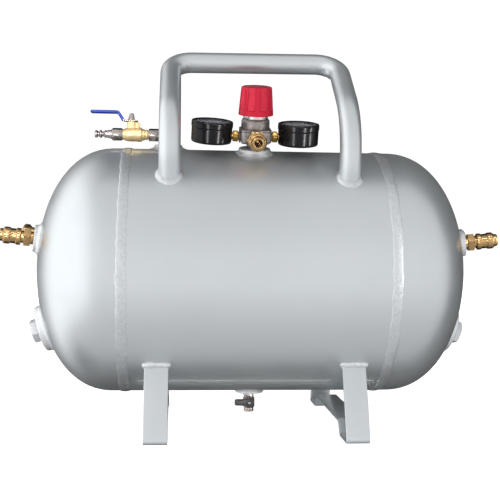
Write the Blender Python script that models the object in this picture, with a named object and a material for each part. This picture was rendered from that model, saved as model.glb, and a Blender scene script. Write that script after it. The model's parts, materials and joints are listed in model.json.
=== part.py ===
"""Portable horizontal air receiver tank, about 38 litres (10 US gallons).

Frame: X runs along the tank, left to right as seen from its front; -Y is the
front, where the pressure gauges and the regulator's outlet point; +Z is up.
The origin is on the floor, under the middle of the tank.
"""
import math

import bmesh
import bpy
from mathutils import Matrix, Vector

MM = 0.001
GAP = 0.3 * MM                      # clearance between pieces that touch

# ---- driving dimensions -------------------------------------------------
TANK_R = 159.0 * MM                 # outside radius of the shell
TANK_WALL = 2.6 * MM
AXIS_Z = 202.0 * MM                 # height of the tank's centre line
SEAM_X = 162.8 * MM                 # girth welds, either side of the middle
HEAD_FLANGE = 16.0 * MM             # straight flange of a head
HEAD_DEPTH = 99.4 * MM              # domed part of a head
HEAD_POWER = 2.14                   # superellipse exponent of the dome
TANK_SIDES = 36
HEAD_STEPS = 6
GAUGE_SIDES = 20
BEAD_WIDTH = 12.5 * MM
BEAD_HEIGHT = 0.9 * MM

HANDLE_R = 13.35 * MM               # 3/4 in pipe
HANDLE_WALL = 2.6 * MM
HANDLE_X = 110.8 * MM
HANDLE_SHIFT = 1.9 * MM             # the handle is welded slightly off centre
HANDLE_FOOT = (-98.0 * MM, 100.0 * MM)      # Y, Z from the tank's axis
HANDLE_KNEE = (-126.2 * MM, 179.4 * MM)
HANDLE_BAR = (-10.4 * MM, 276.2 * MM)
HANDLE_KNEE_R = 62.0 * MM
HANDLE_CORNER_R = 34.0 * MM
HANDLE_SLOPE = 2.8 * MM             # the bar's left end sits this much lower

BRACKET_X = (-122.0 * MM, 120.0 * MM)
BRACKET_WIDTH = 29.1 * MM
BRACKET_T = 4.2 * MM
BRACKET_TOP = (113.0 * MM, -106.0 * MM)     # Y, Z from the tank's axis
BRACKET_TOE_Y = 146.0 * MM
BRACKET_HEEL_Y = 100.2 * MM
BRACKET_SPAN_Y = 85.5 * MM
BRACKET_SPAN_Z = 15.7 * MM                  # underside of the cross-member

REG_TILT = math.radians(16.0)       # the regulator leans to the front
REG_BOSS_TOP = 6.3 * MM
REG_PORT_H = 21.4 * MM              # ports' height above the shell
REG_BODY = (40.3 * MM, 36.0 * MM, 13.6 * MM, 31.6 * MM)   # width, depth, bottom, top
REG_OUTLET = 53.2 * MM              # outlet coupler's face to the regulator's axis
KNOB_BOTTOM = 49.4 * MM
KNOB_TOP = 85.7 * MM
KNOB_R = (22.3 * MM, 19.4 * MM)     # at the bottom and at the top
KNOB_FLUTES = 8

GAUGE_X = 55.8 * MM
GAUGE_R = 26.0 * MM
GAUGE_HEIGHT = 28.0 * MM
GAUGE_LIFT = 4.05 * MM              # case's middle above its stem
GAUGE_BEZEL = 8.1 * MM
LEFT_GAUGE_LEAN = math.radians(2.6)

PORT_Y = -40.0 * MM                 # end couplers' bosses on the heads
PORT_Z = 39.2 * MM
PORT_LIFT = math.radians(-2.0)      # the ports point this much above the heads' normals
PORT_BOSS_R = 17.3 * MM
PORT_BOSS_H = 6.6 * MM
PORT_COUPLER = 42.8 * MM            # coupler's length out of its boss
INSPECTION_Z = -77.5 * MM
INSPECTION_BOSS_R = 30.5 * MM
INSPECTION_BOSS_H = 8.6 * MM
REAR_Y = 40.0 * MM                  # second ports of the heads, behind the first
REAR_Z = 43.5 * MM
REAR_BOSS_R = 12.0 * MM
REAR_BOSS_H = 6.0 * MM
REAR_FITTING = 36.4 * MM            # fitting's length out of the head

VALVE_X = -111.0 * MM               # ball valve's boss
VALVE_STEM = 48.8 * MM               # ball valve's stem to its boss, along X
VALVE_AXIS = 178.3 * MM             # its pipe's height above the tank's axis
DRAIN_BOSS_R = 21.0 * MM

THREAD_BORE = 6.6 * MM              # bore of a 1/4 in port
THREAD_TAIL = 6.2 * MM              # a fitting's tail in that bore
CORNER_FIRST = (0, 0, math.pi / 6)  # turns a hexagon's corner, not a flat, to +X


# ---- scene --------------------------------------------------------------
def clear_scene():
    for old in list(bpy.data.objects):
        bpy.data.objects.remove(old, do_unlink=True)


def material(name, colour, roughness, metallic):
    made = bpy.data.materials.new(name)
    made.use_nodes = True
    shader = made.node_tree.nodes["Principled BSDF"]
    shader.inputs["Base Color"].default_value = (*colour, 1.0)
    shader.inputs["Roughness"].default_value = roughness
    shader.inputs["Metallic"].default_value = metallic
    return made


def make_materials():
    return {
        "paint": material("tank_paint", (0.55, 0.58, 0.60), 0.35, 0.3),
        "brass": material("brass", (0.72, 0.50, 0.22), 0.25, 1.0),
        "steel": material("plated_steel", (0.62, 0.60, 0.57), 0.3, 1.0),
        "die_cast": material("die_cast", (0.45, 0.45, 0.44), 0.45, 0.9),
        "red": material("red_plastic", (0.68, 0.03, 0.06), 0.4, 0.0),
        "blue": material("blue_vinyl", (0.02, 0.08, 0.45), 0.4, 0.0),
        "black": material("black_gloss", (0.012, 0.012, 0.014), 0.15, 0.0),
        "rubber": material("rubber", (0.03, 0.03, 0.03), 0.7, 0.0),
        "dial": material("dial_white", (0.85, 0.85, 0.83), 0.5, 0.0),
        "lens": material("lens", (0.9, 0.93, 0.95), 0.05, 0.0),
    }


def place(name, mesh, look, parent=None, location=(0, 0, 0), rotation=None):
    """Link a new object for a mesh, under an optional frame."""
    obj = bpy.data.objects.new(name, mesh)
    bpy.context.collection.objects.link(obj)
    obj.parent = parent
    obj.location = location
    if rotation is not None:
        obj.rotation_euler = rotation
    if look is not None:
        mesh.materials.append(look)
    return obj


def frame(name, location, rotation=(0, 0, 0), parent=None):
    """An empty that carries a group of pieces."""
    empty = bpy.data.objects.new(name, None)
    bpy.context.collection.objects.link(empty)
    empty.parent = parent
    empty.location = location
    empty.rotation_euler = rotation
    return empty


def frame_along(name, location, direction):
    """An empty whose +Z points along a direction."""
    return frame(name, location, Vector(direction).to_track_quat("Z", "Y").to_euler())


def finish_mesh(name, bm, sharp=35.0):
    bmesh.ops.recalc_face_normals(bm, faces=bm.faces)
    mesh = bpy.data.meshes.new(name)
    bm.to_mesh(mesh)
    bm.free()
    mesh.shade_smooth()
    mesh.set_sharp_from_angle(angle=math.radians(sharp))
    return mesh


# ---- mesh tools ---------------------------------------------------------
def section_radius(shape, radius, angle):
    """Radius of a cross-section at an angle; a hexagon's radius is half its width."""
    if shape == "hex":
        within = (angle + math.pi / 6) % (math.pi / 3) - math.pi / 6
        return radius / math.cos(within)
    if shape == "flutes":
        wave = (angle * KNOB_FLUTES / (2 * math.pi) + 0.1) % 1.0
        return radius - (1.3 * MM if 0.3 < wave < 0.9 else 0.0)
    return radius


def turned(name, outline, sides=12):
    """A piece turned about Z. The outline is a list of (radius, height) or
    (half width, height, shape), and closes on itself when it stays off the axis."""
    bm = bmesh.new()
    rings = []
    for radius, height, *shape in outline:
        if radius == 0:
            rings.append([bm.verts.new((0, 0, height))])
            continue
        ring = []
        for step in range(sides):
            angle = 2 * math.pi * step / sides
            reach = section_radius(shape[0] if shape else "round", radius, angle)
            ring.append(bm.verts.new((reach * math.cos(angle), reach * math.sin(angle), height)))
        rings.append(ring)
    join_rings(bm, rings, closed=outline[0][0] > 0)
    return finish_mesh(name, bm)


def join_rings(bm, rings, closed):
    """Skin neighbouring rings of points; a ring of one point is a tip."""
    pairs = list(zip(rings, rings[1:]))
    if closed:
        pairs.append((rings[-1], rings[0]))
    for low, high in pairs:
        count = max(len(low), len(high))
        for step in range(count):
            after = (step + 1) % count
            if len(low) == 1:
                bm.faces.new((low[0], high[after], high[step]))
            elif len(high) == 1:
                bm.faces.new((low[step], low[after], high[0]))
            else:
                bm.faces.new((low[step], low[after], high[after], high[step]))


def rounded_path(points, radii, steps):
    """A path through points, with its inner corners turned into arcs."""
    points = [Vector(point) for point in points]
    path = [points[0]]
    for before, corner, after, radius in zip(points, points[1:], points[2:], radii):
        arrive = (corner - before).normalized()
        leave = (after - corner).normalized()
        turn = arrive.angle(leave)
        start = corner - arrive * radius * math.tan(turn / 2)
        centre = corner + (leave - arrive).normalized() * radius / math.cos(turn / 2)
        axis = arrive.cross(leave)
        for step in range(steps + 1):
            swing = Matrix.Rotation(turn * step / steps, 3, axis)
            path.append(centre + swing @ (start - centre))
    path.append(points[-1])
    return path


def swept_tube(name, path, radius, bore=0.0, sides=16):
    """A round tube along a path, or a round bar when it has no bore."""
    bm = bmesh.new()
    tangents = []
    for before, after in zip([path[0]] + path[:-1], path[1:] + [path[-1]]):
        tangents.append((after - before).normalized())
    side = tangents[0].orthogonal().normalized()
    outer = []
    inner = []
    for point, tangent in zip(path, tangents):
        side = (side - tangent * side.dot(tangent)).normalized()
        across = tangent.cross(side)
        for ring_list, reach in ((outer, radius), (inner, bore)):
            if reach == 0:
                continue
            ring = []
            for step in range(sides):
                angle = 2 * math.pi * step / sides
                offset = side * math.cos(angle) + across * math.sin(angle)
                ring.append(bm.verts.new(point + offset * reach))
            ring_list.append(ring)
    if bore > 0:
        join_rings(bm, outer + inner[::-1], closed=True)
    else:
        join_rings(bm, outer, closed=False)
        bm.faces.new(outer[0][::-1])
        bm.faces.new(outer[-1])
    return finish_mesh(name, bm)


def extruded(name, outline, depth):
    """A flat outline in X, Y, extruded to either side of Z = 0."""
    bm = bmesh.new()
    low = [bm.verts.new((x, y, -depth / 2)) for x, y in outline]
    high = [bm.verts.new((x, y, depth / 2)) for x, y in outline]
    join_rings(bm, [low, high], closed=False)
    bm.faces.new(low[::-1])
    bm.faces.new(high)
    return finish_mesh(name, bm)


def strip_outline(path, thickness):
    """The outline of a bent strip, from its centre line in X, Y."""
    left = []
    right = []
    for index, point in enumerate(path):
        before = path[max(index - 1, 0)]
        after = path[min(index + 1, len(path) - 1)]
        arrive = (point - before).normalized() if index else (after - point).normalized()
        leave = (after - point).normalized() if index < len(path) - 1 else arrive
        mid = (arrive + leave).normalized()
        reach = thickness / 2 / mid.dot(arrive)
        normal = Vector((-mid.y, mid.x, 0)) * reach
        left.append(point + normal)
        right.append(point - normal)
    return [(p.x, p.y) for p in left + right[::-1]]


def block(name, size, centre=(0, 0, 0), chamfer=0.0):
    bm = bmesh.new()
    bmesh.ops.create_cube(bm, size=1.0)
    bmesh.ops.scale(bm, verts=bm.verts, vec=size)
    if chamfer > 0:
        bmesh.ops.bevel(bm, geom=bm.edges[:], offset=chamfer, segments=1, affect="EDGES")
    bmesh.ops.translate(bm, verts=bm.verts, vec=centre)
    return finish_mesh(name, bm)


def boolean(target, tool, operation="DIFFERENCE"):
    tool.hide_render = True
    tool.display_type = "WIRE"
    change = target.modifiers.new(operation.lower() + "_" + tool.name, "BOOLEAN")
    change.operation = operation
    change.solver = "EXACT"
    change.object = tool


def rod_tool(name, radius, low, high, parent, rotation=(0, 0, 0), location=(0, 0, 0), sides=12):
    """A plain round cutter along its own Z."""
    outline = [(0, low), (radius, low), (radius, high), (0, high)]
    return place(name, turned(name, outline, sides), None, parent, location, rotation)


# ---- tank ---------------------------------------------------------------
def dome(radius, depth, steps):
    """Points (radius, distance) of a head's dome, from its flange to its crown."""
    points = []
    for step in range(steps + 1):
        turn = math.pi / 2 * step / steps
        reach = 0.0 if step == steps else radius * math.cos(turn) ** (2 / HEAD_POWER)
        points.append((reach, depth * math.sin(turn) ** (2 / HEAD_POWER)))
    return points


def head_outline(radius, depth, rim, shift=0.0):
    """A head's surface from its rim to its crown, measured from the tank's middle."""
    tangent = SEAM_X + HEAD_FLANGE
    return [(radius, rim)] + [(r, tangent + h + shift) for r, h in dome(radius, depth, HEAD_STEPS)]


def head_surface(side, y, z):
    """The point and outward normal on a head, at Y and Z from the tank's axis."""
    reach = math.hypot(y, z)
    out = (1 - (reach / TANK_R) ** HEAD_POWER) ** (1 / HEAD_POWER)
    slope_x = (out ** (HEAD_POWER - 1)) / HEAD_DEPTH
    slope_r = (reach / TANK_R) ** (HEAD_POWER - 1) / TANK_R
    normal = Vector((side * slope_x, slope_r * y / reach, slope_r * z / reach)).normalized()
    point = Vector((side * (SEAM_X + HEAD_FLANGE + HEAD_DEPTH * out), y, AXIS_Z + z))
    return point, normal


def along_x(side=1):
    """Rotation that turns a piece's +Z to the tank's left (-1) or right (+1)."""
    return (0, side * math.pi / 2, 0)


def build_tank(looks):
    """Shell, heads and girth welds. Returns the tank's outside as a cutter, and
    the pieces by name."""
    inner = TANK_R - TANK_WALL
    end = SEAM_X - GAP
    shell_outline = [(TANK_R, end), (TANK_R, -end), (inner, -end), (inner, end)]
    centre = (0, 0, AXIS_Z)
    pieces = {}
    shell = turned("tank_shell", shell_outline, TANK_SIDES)
    pieces["shell"] = place("tank_shell", shell, looks["paint"], None, centre, along_x())
    outside = head_outline(TANK_R, HEAD_DEPTH, SEAM_X + GAP)
    inside = head_outline(inner, HEAD_DEPTH - TANK_WALL, SEAM_X + GAP)
    for side, word in ((-1, "left"), (1, "right")):
        outline = outside[::-1] + inside
        name = word + "_head"
        pieces[word] = place(name, turned(name, outline, TANK_SIDES), looks["paint"],
                             None, centre, along_x(side))
        bead = []
        for step in range(5):
            angle = math.pi * step / 4
            bead.append((TANK_R + GAP + BEAD_HEIGHT * math.sin(angle),
                         SEAM_X + BEAD_WIDTH / 2 * math.cos(angle)))
        name = word + "_girth_weld"
        place(name, turned(name, bead, TANK_SIDES), looks["paint"], None, centre, along_x(side))
    outer = head_outline(TANK_R + GAP, HEAD_DEPTH, SEAM_X, GAP)
    outline = [(r, -h) for r, h in outer[::-1]] + outer
    envelope = place("tank_envelope", turned("tank_envelope", outline, TANK_SIDES), None,
                     None, centre, along_x())
    return envelope, pieces


def weld_boss(name, carrier, radius, height, bore, look, envelope, wall, skirt=3.0 * MM):
    """A threaded boss that follows the tank's surface, and the hole under it."""
    deep = -0.42 * (radius + skirt)
    outline = [(bore, deep), (radius + skirt, deep), (radius + skirt, 0.8 * MM),
               (radius + 0.4 * skirt, 1.6 * MM), (radius, 3.4 * MM), (radius, height - 1.0 * MM),
               (radius - 1.0 * MM, height), (bore, height)]
    boss = place(name, turned(name, outline, 16), look, carrier)
    boolean(boss, envelope)
    hole = rod_tool(name + "_hole", bore + 0.5 * MM, -20 * MM, 20 * MM, carrier)
    boolean(wall, hole)


def build_inspection_plugs(looks, envelope, pieces):
    for side, word in ((-1, "left"), (1, "right")):
        point, normal = head_surface(side, 0.0, INSPECTION_Z)
        carrier = frame_along(word + "_inspection_port", point, normal)
        weld_boss(word + "_inspection_boss", carrier, INSPECTION_BOSS_R, INSPECTION_BOSS_H,
                  16.0 * MM, looks["paint"], envelope, pieces[word], skirt=6.0 * MM)
        rim = INSPECTION_BOSS_H + GAP
        outline = [(0, -6 * MM), (15.5 * MM, -6 * MM), (15.5 * MM, rim), (17.5 * MM, rim),
                   (17.5 * MM, rim + 1.6 * MM), (13.9 * MM, rim + 1.6 * MM, "hex"),
                   (13.9 * MM, rim + 10.2 * MM, "hex"), (12.4 * MM, rim + 11.0 * MM),
                   (0, rim + 11.0 * MM)]
        name = word + "_inspection_plug"
        place(name, turned(name, outline), looks["paint"], carrier)


# ---- handle and feet ----------------------------------------------------
def handle_path():
    """The handle's centre line, from its left foot to its right foot."""
    def leg(side):
        drop = HANDLE_SLOPE if side < 0 else 0.0
        bar = (HANDLE_BAR[0], HANDLE_BAR[1] - drop)
        stops = (HANDLE_FOOT, HANDLE_KNEE, bar)
        return [(HANDLE_SHIFT + side * HANDLE_X, y, AXIS_Z + z) for y, z in stops]
    corners = leg(-1) + leg(1)[::-1]
    radii = [HANDLE_KNEE_R, HANDLE_CORNER_R, HANDLE_CORNER_R, HANDLE_KNEE_R]
    return rounded_path(corners, radii, 4)


def build_handle(looks, envelope):
    tube = swept_tube("handle", handle_path(), HANDLE_R, HANDLE_R - HANDLE_WALL, 12)
    handle = place("handle", tube, looks["paint"])
    boolean(handle, envelope)


def build_brackets(looks, envelope):
    half = BRACKET_T / 2
    lean = Vector((BRACKET_TOE_Y - BRACKET_TOP[0], -(AXIS_Z + BRACKET_TOP[1]))).normalized()
    stops = [(-BRACKET_TOP[0] + 6 * MM * lean.x, AXIS_Z + BRACKET_TOP[1] - 6 * MM * lean.y),
             (-BRACKET_TOE_Y + half, half), (-BRACKET_HEEL_Y, half),
             (-BRACKET_SPAN_Y, BRACKET_SPAN_Z + half)]
    stops = stops + [(-y, z) for y, z in stops[::-1]]
    radii = [3 * MM, 5 * MM, 5 * MM, 5 * MM, 5 * MM, 3 * MM]
    path = rounded_path([(y, z, 0) for y, z in stops], radii, 3)
    outline = strip_outline(path, BRACKET_T)
    for x, word in zip(BRACKET_X, ("left", "right")):
        name = word + "_foot_bracket"
        mesh = extruded(name, outline, BRACKET_WIDTH)
        turn = (math.pi / 2, 0, math.pi / 2)
        bracket = place(name, mesh, looks["paint"], None, (x, 0, 0), turn)
        boolean(bracket, envelope)


# ---- quick couplers -----------------------------------------------------
def build_coupler(prefix, carrier, looks, length, sleeve_r, tail=6.0 * MM):
    """A brass quick coupler that stands on its carrier's Z = 0 face."""
    hex_half = 10.8 * MM
    body = [(3.0 * MM, -tail), (THREAD_TAIL, -tail), (THREAD_TAIL, GAP), (8.0 * MM, GAP),
            (8.0 * MM, 4.0 * MM), (hex_half, 4.2 * MM, "hex"), (hex_half, 12.4 * MM, "hex"),
            (7.6 * MM, 12.6 * MM), (7.6 * MM, length - 5.4 * MM), (8.1 * MM, length - 4.6 * MM),
            (8.1 * MM, length - 1.6 * MM), (7.0 * MM, length), (5.0 * MM, length),
            (4.4 * MM, length - 0.8 * MM), (4.4 * MM, length - 20 * MM),
            (3.0 * MM, length - 20 * MM)]
    if tail == 0:
        body = [(3.0 * MM, GAP)] + body[3:]
    place(prefix + "_coupler_body", turned(prefix + "_coupler_body", body), looks["brass"], carrier)
    low = 15.8 * MM
    high = length - 5.0 * MM
    bore = 8.45 * MM
    span = high - low
    waist = sleeve_r - 0.8 * MM
    sleeve = [(bore, low), (sleeve_r - 0.6 * MM, low), (sleeve_r, low + 0.6 * MM),
              (sleeve_r, low + 0.25 * span), (waist, low + 0.29 * span), (waist, low + 0.6 * span),
              (sleeve_r, low + 0.64 * span), (sleeve_r, high - 0.9 * MM),
              (sleeve_r - 1.0 * MM, high), (bore, high)]
    name = prefix + "_coupler_sleeve"
    place(name, turned(name, sleeve), looks["brass"], carrier)


def build_end_couplers(looks, envelope, pieces):
    for side, word in ((-1, "left"), (1, "right")):
        point, normal = head_surface(side, PORT_Y, PORT_Z)
        aim = Matrix.Rotation(-side * PORT_LIFT, 3, "Y") @ normal
        port = frame_along(word + "_port", point, aim)
        weld_boss(word + "_port_boss", port, PORT_BOSS_R, PORT_BOSS_H, THREAD_BORE,
                  looks["paint"], envelope, pieces[word], skirt=4.5 * MM)
        face = frame(word + "_port_face", (0, 0, PORT_BOSS_H), (0, 0, 0), port)
        build_coupler(word, face, looks, PORT_COUPLER, 10.8 * MM)


# ---- regulator ----------------------------------------------------------
def build_regulator(looks, envelope, pieces):
    base = Vector((0, -TANK_R * math.sin(REG_TILT), AXIS_Z + TANK_R * math.cos(REG_TILT)))
    stand = frame("regulator_axis", base, (REG_TILT, 0, 0))
    weld_boss("regulator_boss", stand, 20.5 * MM, REG_BOSS_TOP, THREAD_BORE, looks["paint"],
              envelope, pieces["shell"])
    width, depth, low, high = REG_BODY
    nipple = [(4.0 * MM, -5 * MM), (THREAD_TAIL, -5 * MM), (THREAD_TAIL, REG_BOSS_TOP + GAP),
              (9.0 * MM, REG_BOSS_TOP + GAP, "hex"), (9.0 * MM, low - GAP, "hex"),
              (4.0 * MM, low - GAP)]
    place("regulator_nipple", turned("regulator_nipple", nipple), looks["steel"], stand)

    mid = (low + high) / 2
    body = place("regulator_body", block("regulator_body", (width, depth, high - low),
                                         (0, 0, mid), 3.0 * MM), looks["die_cast"], stand)
    boolean(body, rod_tool("inlet_way", 4.2 * MM, low - MM, mid, stand))
    boolean(body, rod_tool("diaphragm_well", 13.0 * MM, mid + 4 * MM, high + MM, stand))
    boolean(body, rod_tool("gauge_way", 4.0 * MM, -width, width, stand, along_x(),
                           (0, 0, REG_PORT_H)))
    boolean(body, rod_tool("outlet_way", 4.0 * MM, 0, width, stand, (math.pi / 2, 0, 0),
                           (0, 0, REG_PORT_H)))

    disc = [(0, high + GAP), (17.0 * MM, high + GAP), (17.0 * MM, high + 1.1 * MM),
            (0, high + 1.1 * MM)]
    place("regulator_diaphragm", turned("regulator_diaphragm", disc), looks["rubber"], stand)

    seat = high + 1.4 * MM
    top = 44.8 * MM
    bonnet = [(13.0 * MM, seat), (18.2 * MM, seat), (18.2 * MM, top - 2 * MM),
              (16.2 * MM, top), (11.0 * MM, top), (11.0 * MM, KNOB_BOTTOM - 0.6 * MM),
              (4.6 * MM, KNOB_BOTTOM - 0.6 * MM), (4.6 * MM, top - 2 * MM), (13.0 * MM, top - 3 * MM)]
    place("regulator_bonnet", turned("regulator_bonnet", bonnet), looks["die_cast"], stand)
    ring = [(11.3 * MM, top + GAP), (15.7 * MM, top + GAP), (15.7 * MM, top + 4.3 * MM),
            (11.3 * MM, top + 4.3 * MM)]
    place("regulator_panel_nut", turned("regulator_panel_nut", ring), looks["steel"], stand)

    turns = 2
    coil = []
    wire = 0.75 * MM
    spring_low = seat + wire + 0.2 * MM
    spring_high = top - 6.2 * MM - wire
    count = 32
    for step in range(count + 1):
        angle = 2 * math.pi * turns * step / count
        rise = spring_low + (spring_high - spring_low) * step / count
        coil.append(Vector((9 * MM * math.cos(angle), 9 * MM * math.sin(angle), rise)))
    place("regulator_spring", swept_tube("regulator_spring", coil, wire, 0, 6), looks["steel"], stand)

    screw_low = top - 5.8 * MM
    screw = [(0, screw_low), (10.5 * MM, screw_low), (10.5 * MM, screw_low + 1.6 * MM),
             (4.2 * MM, screw_low + 1.6 * MM), (4.2 * MM, 61.7 * MM), (0, 61.7 * MM)]
    place("regulator_screw", turned("regulator_screw", screw), looks["steel"], stand)

    low_r, high_r = KNOB_R
    knob = [(0, 62.0 * MM), (6.5 * MM, 62.0 * MM), (6.5 * MM, 78.0 * MM), (16.2 * MM, 78.0 * MM),
            (18.0 * MM, KNOB_BOTTOM), (low_r, KNOB_BOTTOM), (low_r, KNOB_BOTTOM + 5.5 * MM),
            (low_r - 0.3 * MM, KNOB_BOTTOM + 6.0 * MM, "flutes"),
            (high_r, KNOB_TOP - 2.4 * MM, "flutes"), (high_r - 2.4 * MM, KNOB_TOP - 0.8 * MM),
            (0, KNOB_TOP)]
    place("regulator_knob", turned("regulator_knob", knob, 5 * KNOB_FLUTES), looks["red"], stand)

    front = frame("outlet_face", (0, -depth / 2, REG_PORT_H), (math.pi / 2, 0, 0), stand)
    outlet = frame("outlet_turn", (0, 0, 0), CORNER_FIRST, front)
    build_coupler("outlet", outlet, looks, REG_OUTLET - depth / 2, 11.6 * MM, 0.0)
    for side, word, lean in ((-1, "left", LEFT_GAUGE_LEAN), (1, "right", 0.0)):
        build_gauge(side, word, lean, stand, looks)


def build_gauge(side, word, lean, stand, looks):
    """A round pressure gauge with its dial up, on a stem from the regulator."""
    port_x = side * (REG_BODY[0] / 2)
    joint = frame(word + "_gauge_port", (port_x, 0, REG_PORT_H), (0, lean, 0), stand)
    centre = frame(word + "_gauge_axis", (side * GAUGE_X - port_x, 0, GAUGE_LIFT), (0, 0, 0), joint)
    base = -GAUGE_HEIGHT / 2
    top = GAUGE_HEIGHT / 2
    split = top - GAUGE_BEZEL
    wall = 1.6 * MM
    case = [(0, base), (GAUGE_R - 2 * MM, base), (GAUGE_R, base + 2 * MM), (GAUGE_R, split),
            (GAUGE_R - wall, split), (GAUGE_R - wall, base + 2.6 * MM), (0, base + 2.6 * MM)]
    place(word + "_gauge_case", turned(word + "_gauge_case", case, GAUGE_SIDES), looks["black"], centre)
    rim = split + GAP
    bezel = [(GAUGE_R - 3 * MM, rim), (GAUGE_R + 0.6 * MM, rim), (GAUGE_R + 0.6 * MM, top - 1 * MM),
             (GAUGE_R - 0.4 * MM, top), (GAUGE_R - 2.4 * MM, top), (GAUGE_R - 3 * MM, top - 1 * MM)]
    place(word + "_gauge_bezel", turned(word + "_gauge_bezel", bezel, GAUGE_SIDES), looks["black"], centre)
    inside = GAUGE_R - 3 * MM - GAP
    lens = [(0, top - 3.6 * MM), (inside, top - 3.6 * MM), (inside, top - 1.8 * MM), (0, top - 1.8 * MM)]
    place(word + "_gauge_lens", turned(word + "_gauge_lens", lens, GAUGE_SIDES), looks["lens"], centre)
    dial = [(0, split - 1.0 * MM), (GAUGE_R - wall - GAP, split - 1.0 * MM),
            (GAUGE_R - wall - GAP, split), (0, split)]
    place(word + "_gauge_dial", turned(word + "_gauge_dial", dial, GAUGE_SIDES), looks["dial"], centre)
    pivot = frame(word + "_needle_axis", (0, 0, split + 1.5 * MM), (0, 0, 0), centre)
    points = [(-5 * MM, -1.4 * MM), (-5 * MM, 1.4 * MM), (0, 1.6 * MM), (17 * MM, 0.3 * MM),
              (17 * MM, -0.3 * MM), (0, -1.6 * MM)]
    needle = extruded(word + "_gauge_needle", points, 0.5 * MM)
    place(word + "_gauge_needle", needle, looks["black"], pivot, (0, 0, 0),
          (0, 0, math.radians(225)))
    reach = GAUGE_X - REG_BODY[0] / 2 - GAUGE_R
    gap = 0.6 * MM
    stem = [(2.0 * MM, gap), (5.6 * MM, gap, "hex"), (5.6 * MM, reach - 0.5 * MM, "hex"),
            (2.0 * MM, reach - 0.5 * MM)]
    place(word + "_gauge_stem", turned(word + "_gauge_stem", stem), looks["brass"], joint,
          (0, 0, 0), along_x(side))


# ---- ball valve ---------------------------------------------------------
def build_ball_valve(looks, envelope, pieces):
    crown = AXIS_Z + TANK_R
    boss_axis = frame("valve_boss_axis", (VALVE_X, 0, crown))
    weld_boss("valve_boss", boss_axis, 18.6 * MM, 6.3 * MM, THREAD_BORE, looks["paint"],
              envelope, pieces["shell"], skirt=5.0 * MM)
    pipe = frame("valve_pipe", (VALVE_X, 0, AXIS_Z + VALVE_AXIS), along_x(-1))
    drop = VALVE_AXIS - TANK_R - 6.3 * MM - GAP
    bend = rounded_path([(0, 0, -drop), (0, 0, 0), (-11.0 * MM, 0, 0)], [8.6 * MM], 3)
    elbow = swept_tube("valve_elbow", bend, 8.2 * MM, 4.5 * MM, 12)
    place("valve_elbow", elbow, looks["steel"], None, (VALVE_X, 0, AXIS_Z + VALVE_AXIS))

    nut = [(4.5 * MM, 11.4 * MM), (7.4 * MM, 11.4 * MM, "hex"), (7.4 * MM, 26.4 * MM, "hex"),
           (4.5 * MM, 26.4 * MM)]
    place("valve_union_nut", turned("valve_union_nut", nut), looks["steel"], pipe, (0, 0, 0),
          CORNER_FIRST)
    body = [(4.5 * MM, 26.7 * MM), (7.0 * MM, 26.7 * MM), (7.0 * MM, 34.5 * MM),
            (9.2 * MM, 36.0 * MM), (9.2 * MM, 56.5 * MM), (8.0 * MM, 60.3 * MM),
            (6.9 * MM, 60.3 * MM), (6.9 * MM, 56.5 * MM), (7.7 * MM, 56.5 * MM),
            (7.7 * MM, 40.5 * MM), (4.5 * MM, 40.5 * MM)]
    shell = place("ball_valve_body", turned("ball_valve_body", body), looks["brass"], pipe)
    swing = frame("ball_valve_swing", (VALVE_X - VALVE_STEM, 0, AXIS_Z + VALVE_AXIS))
    boolean(shell, rod_tool("gland_boss", 6.1 * MM, 8.0 * MM, 16.9 * MM, swing), "UNION")
    boolean(shell, rod_tool("gland_bore", 2.6 * MM, 6.5 * MM, 18.0 * MM, swing))

    ball = [(3.6 * MM, -5.5 * MM)]
    for step in range(7):
        angle = math.radians(-54 + 108 * step / 6)
        ball.append((6.6 * MM * math.cos(angle), 6.6 * MM * math.sin(angle)))
    ball.append((3.6 * MM, 5.5 * MM))
    place("ball_valve_ball", turned("ball_valve_ball", ball), looks["steel"], swing, (0, 0, 0),
          along_x(-1))
    plug = [(2.6 * MM, 57.0 * MM), (6.2 * MM, 57.0 * MM), (6.2 * MM, 60.6 * MM),
            (7.4 * MM, 60.6 * MM, "hex"), (7.4 * MM, 74.4 * MM, "hex"),
            (5.6 * MM, 75.4 * MM), (4.6 * MM, 84.0 * MM), (3.4 * MM, 85.0 * MM),
            (3.4 * MM, 87.0 * MM), (5.4 * MM, 88.4 * MM), (5.4 * MM, 90.0 * MM), (3.6 * MM, 91.4 * MM),
            (3.6 * MM, 93.0 * MM), (4.9 * MM, 94.2 * MM), (4.6 * MM, 96.8 * MM), (2.6 * MM, 96.8 * MM)]
    place("hose_plug", turned("hose_plug", plug), looks["steel"], pipe, (0, 0, 0), CORNER_FIRST)
    build_valve_lever(looks, swing)


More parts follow.
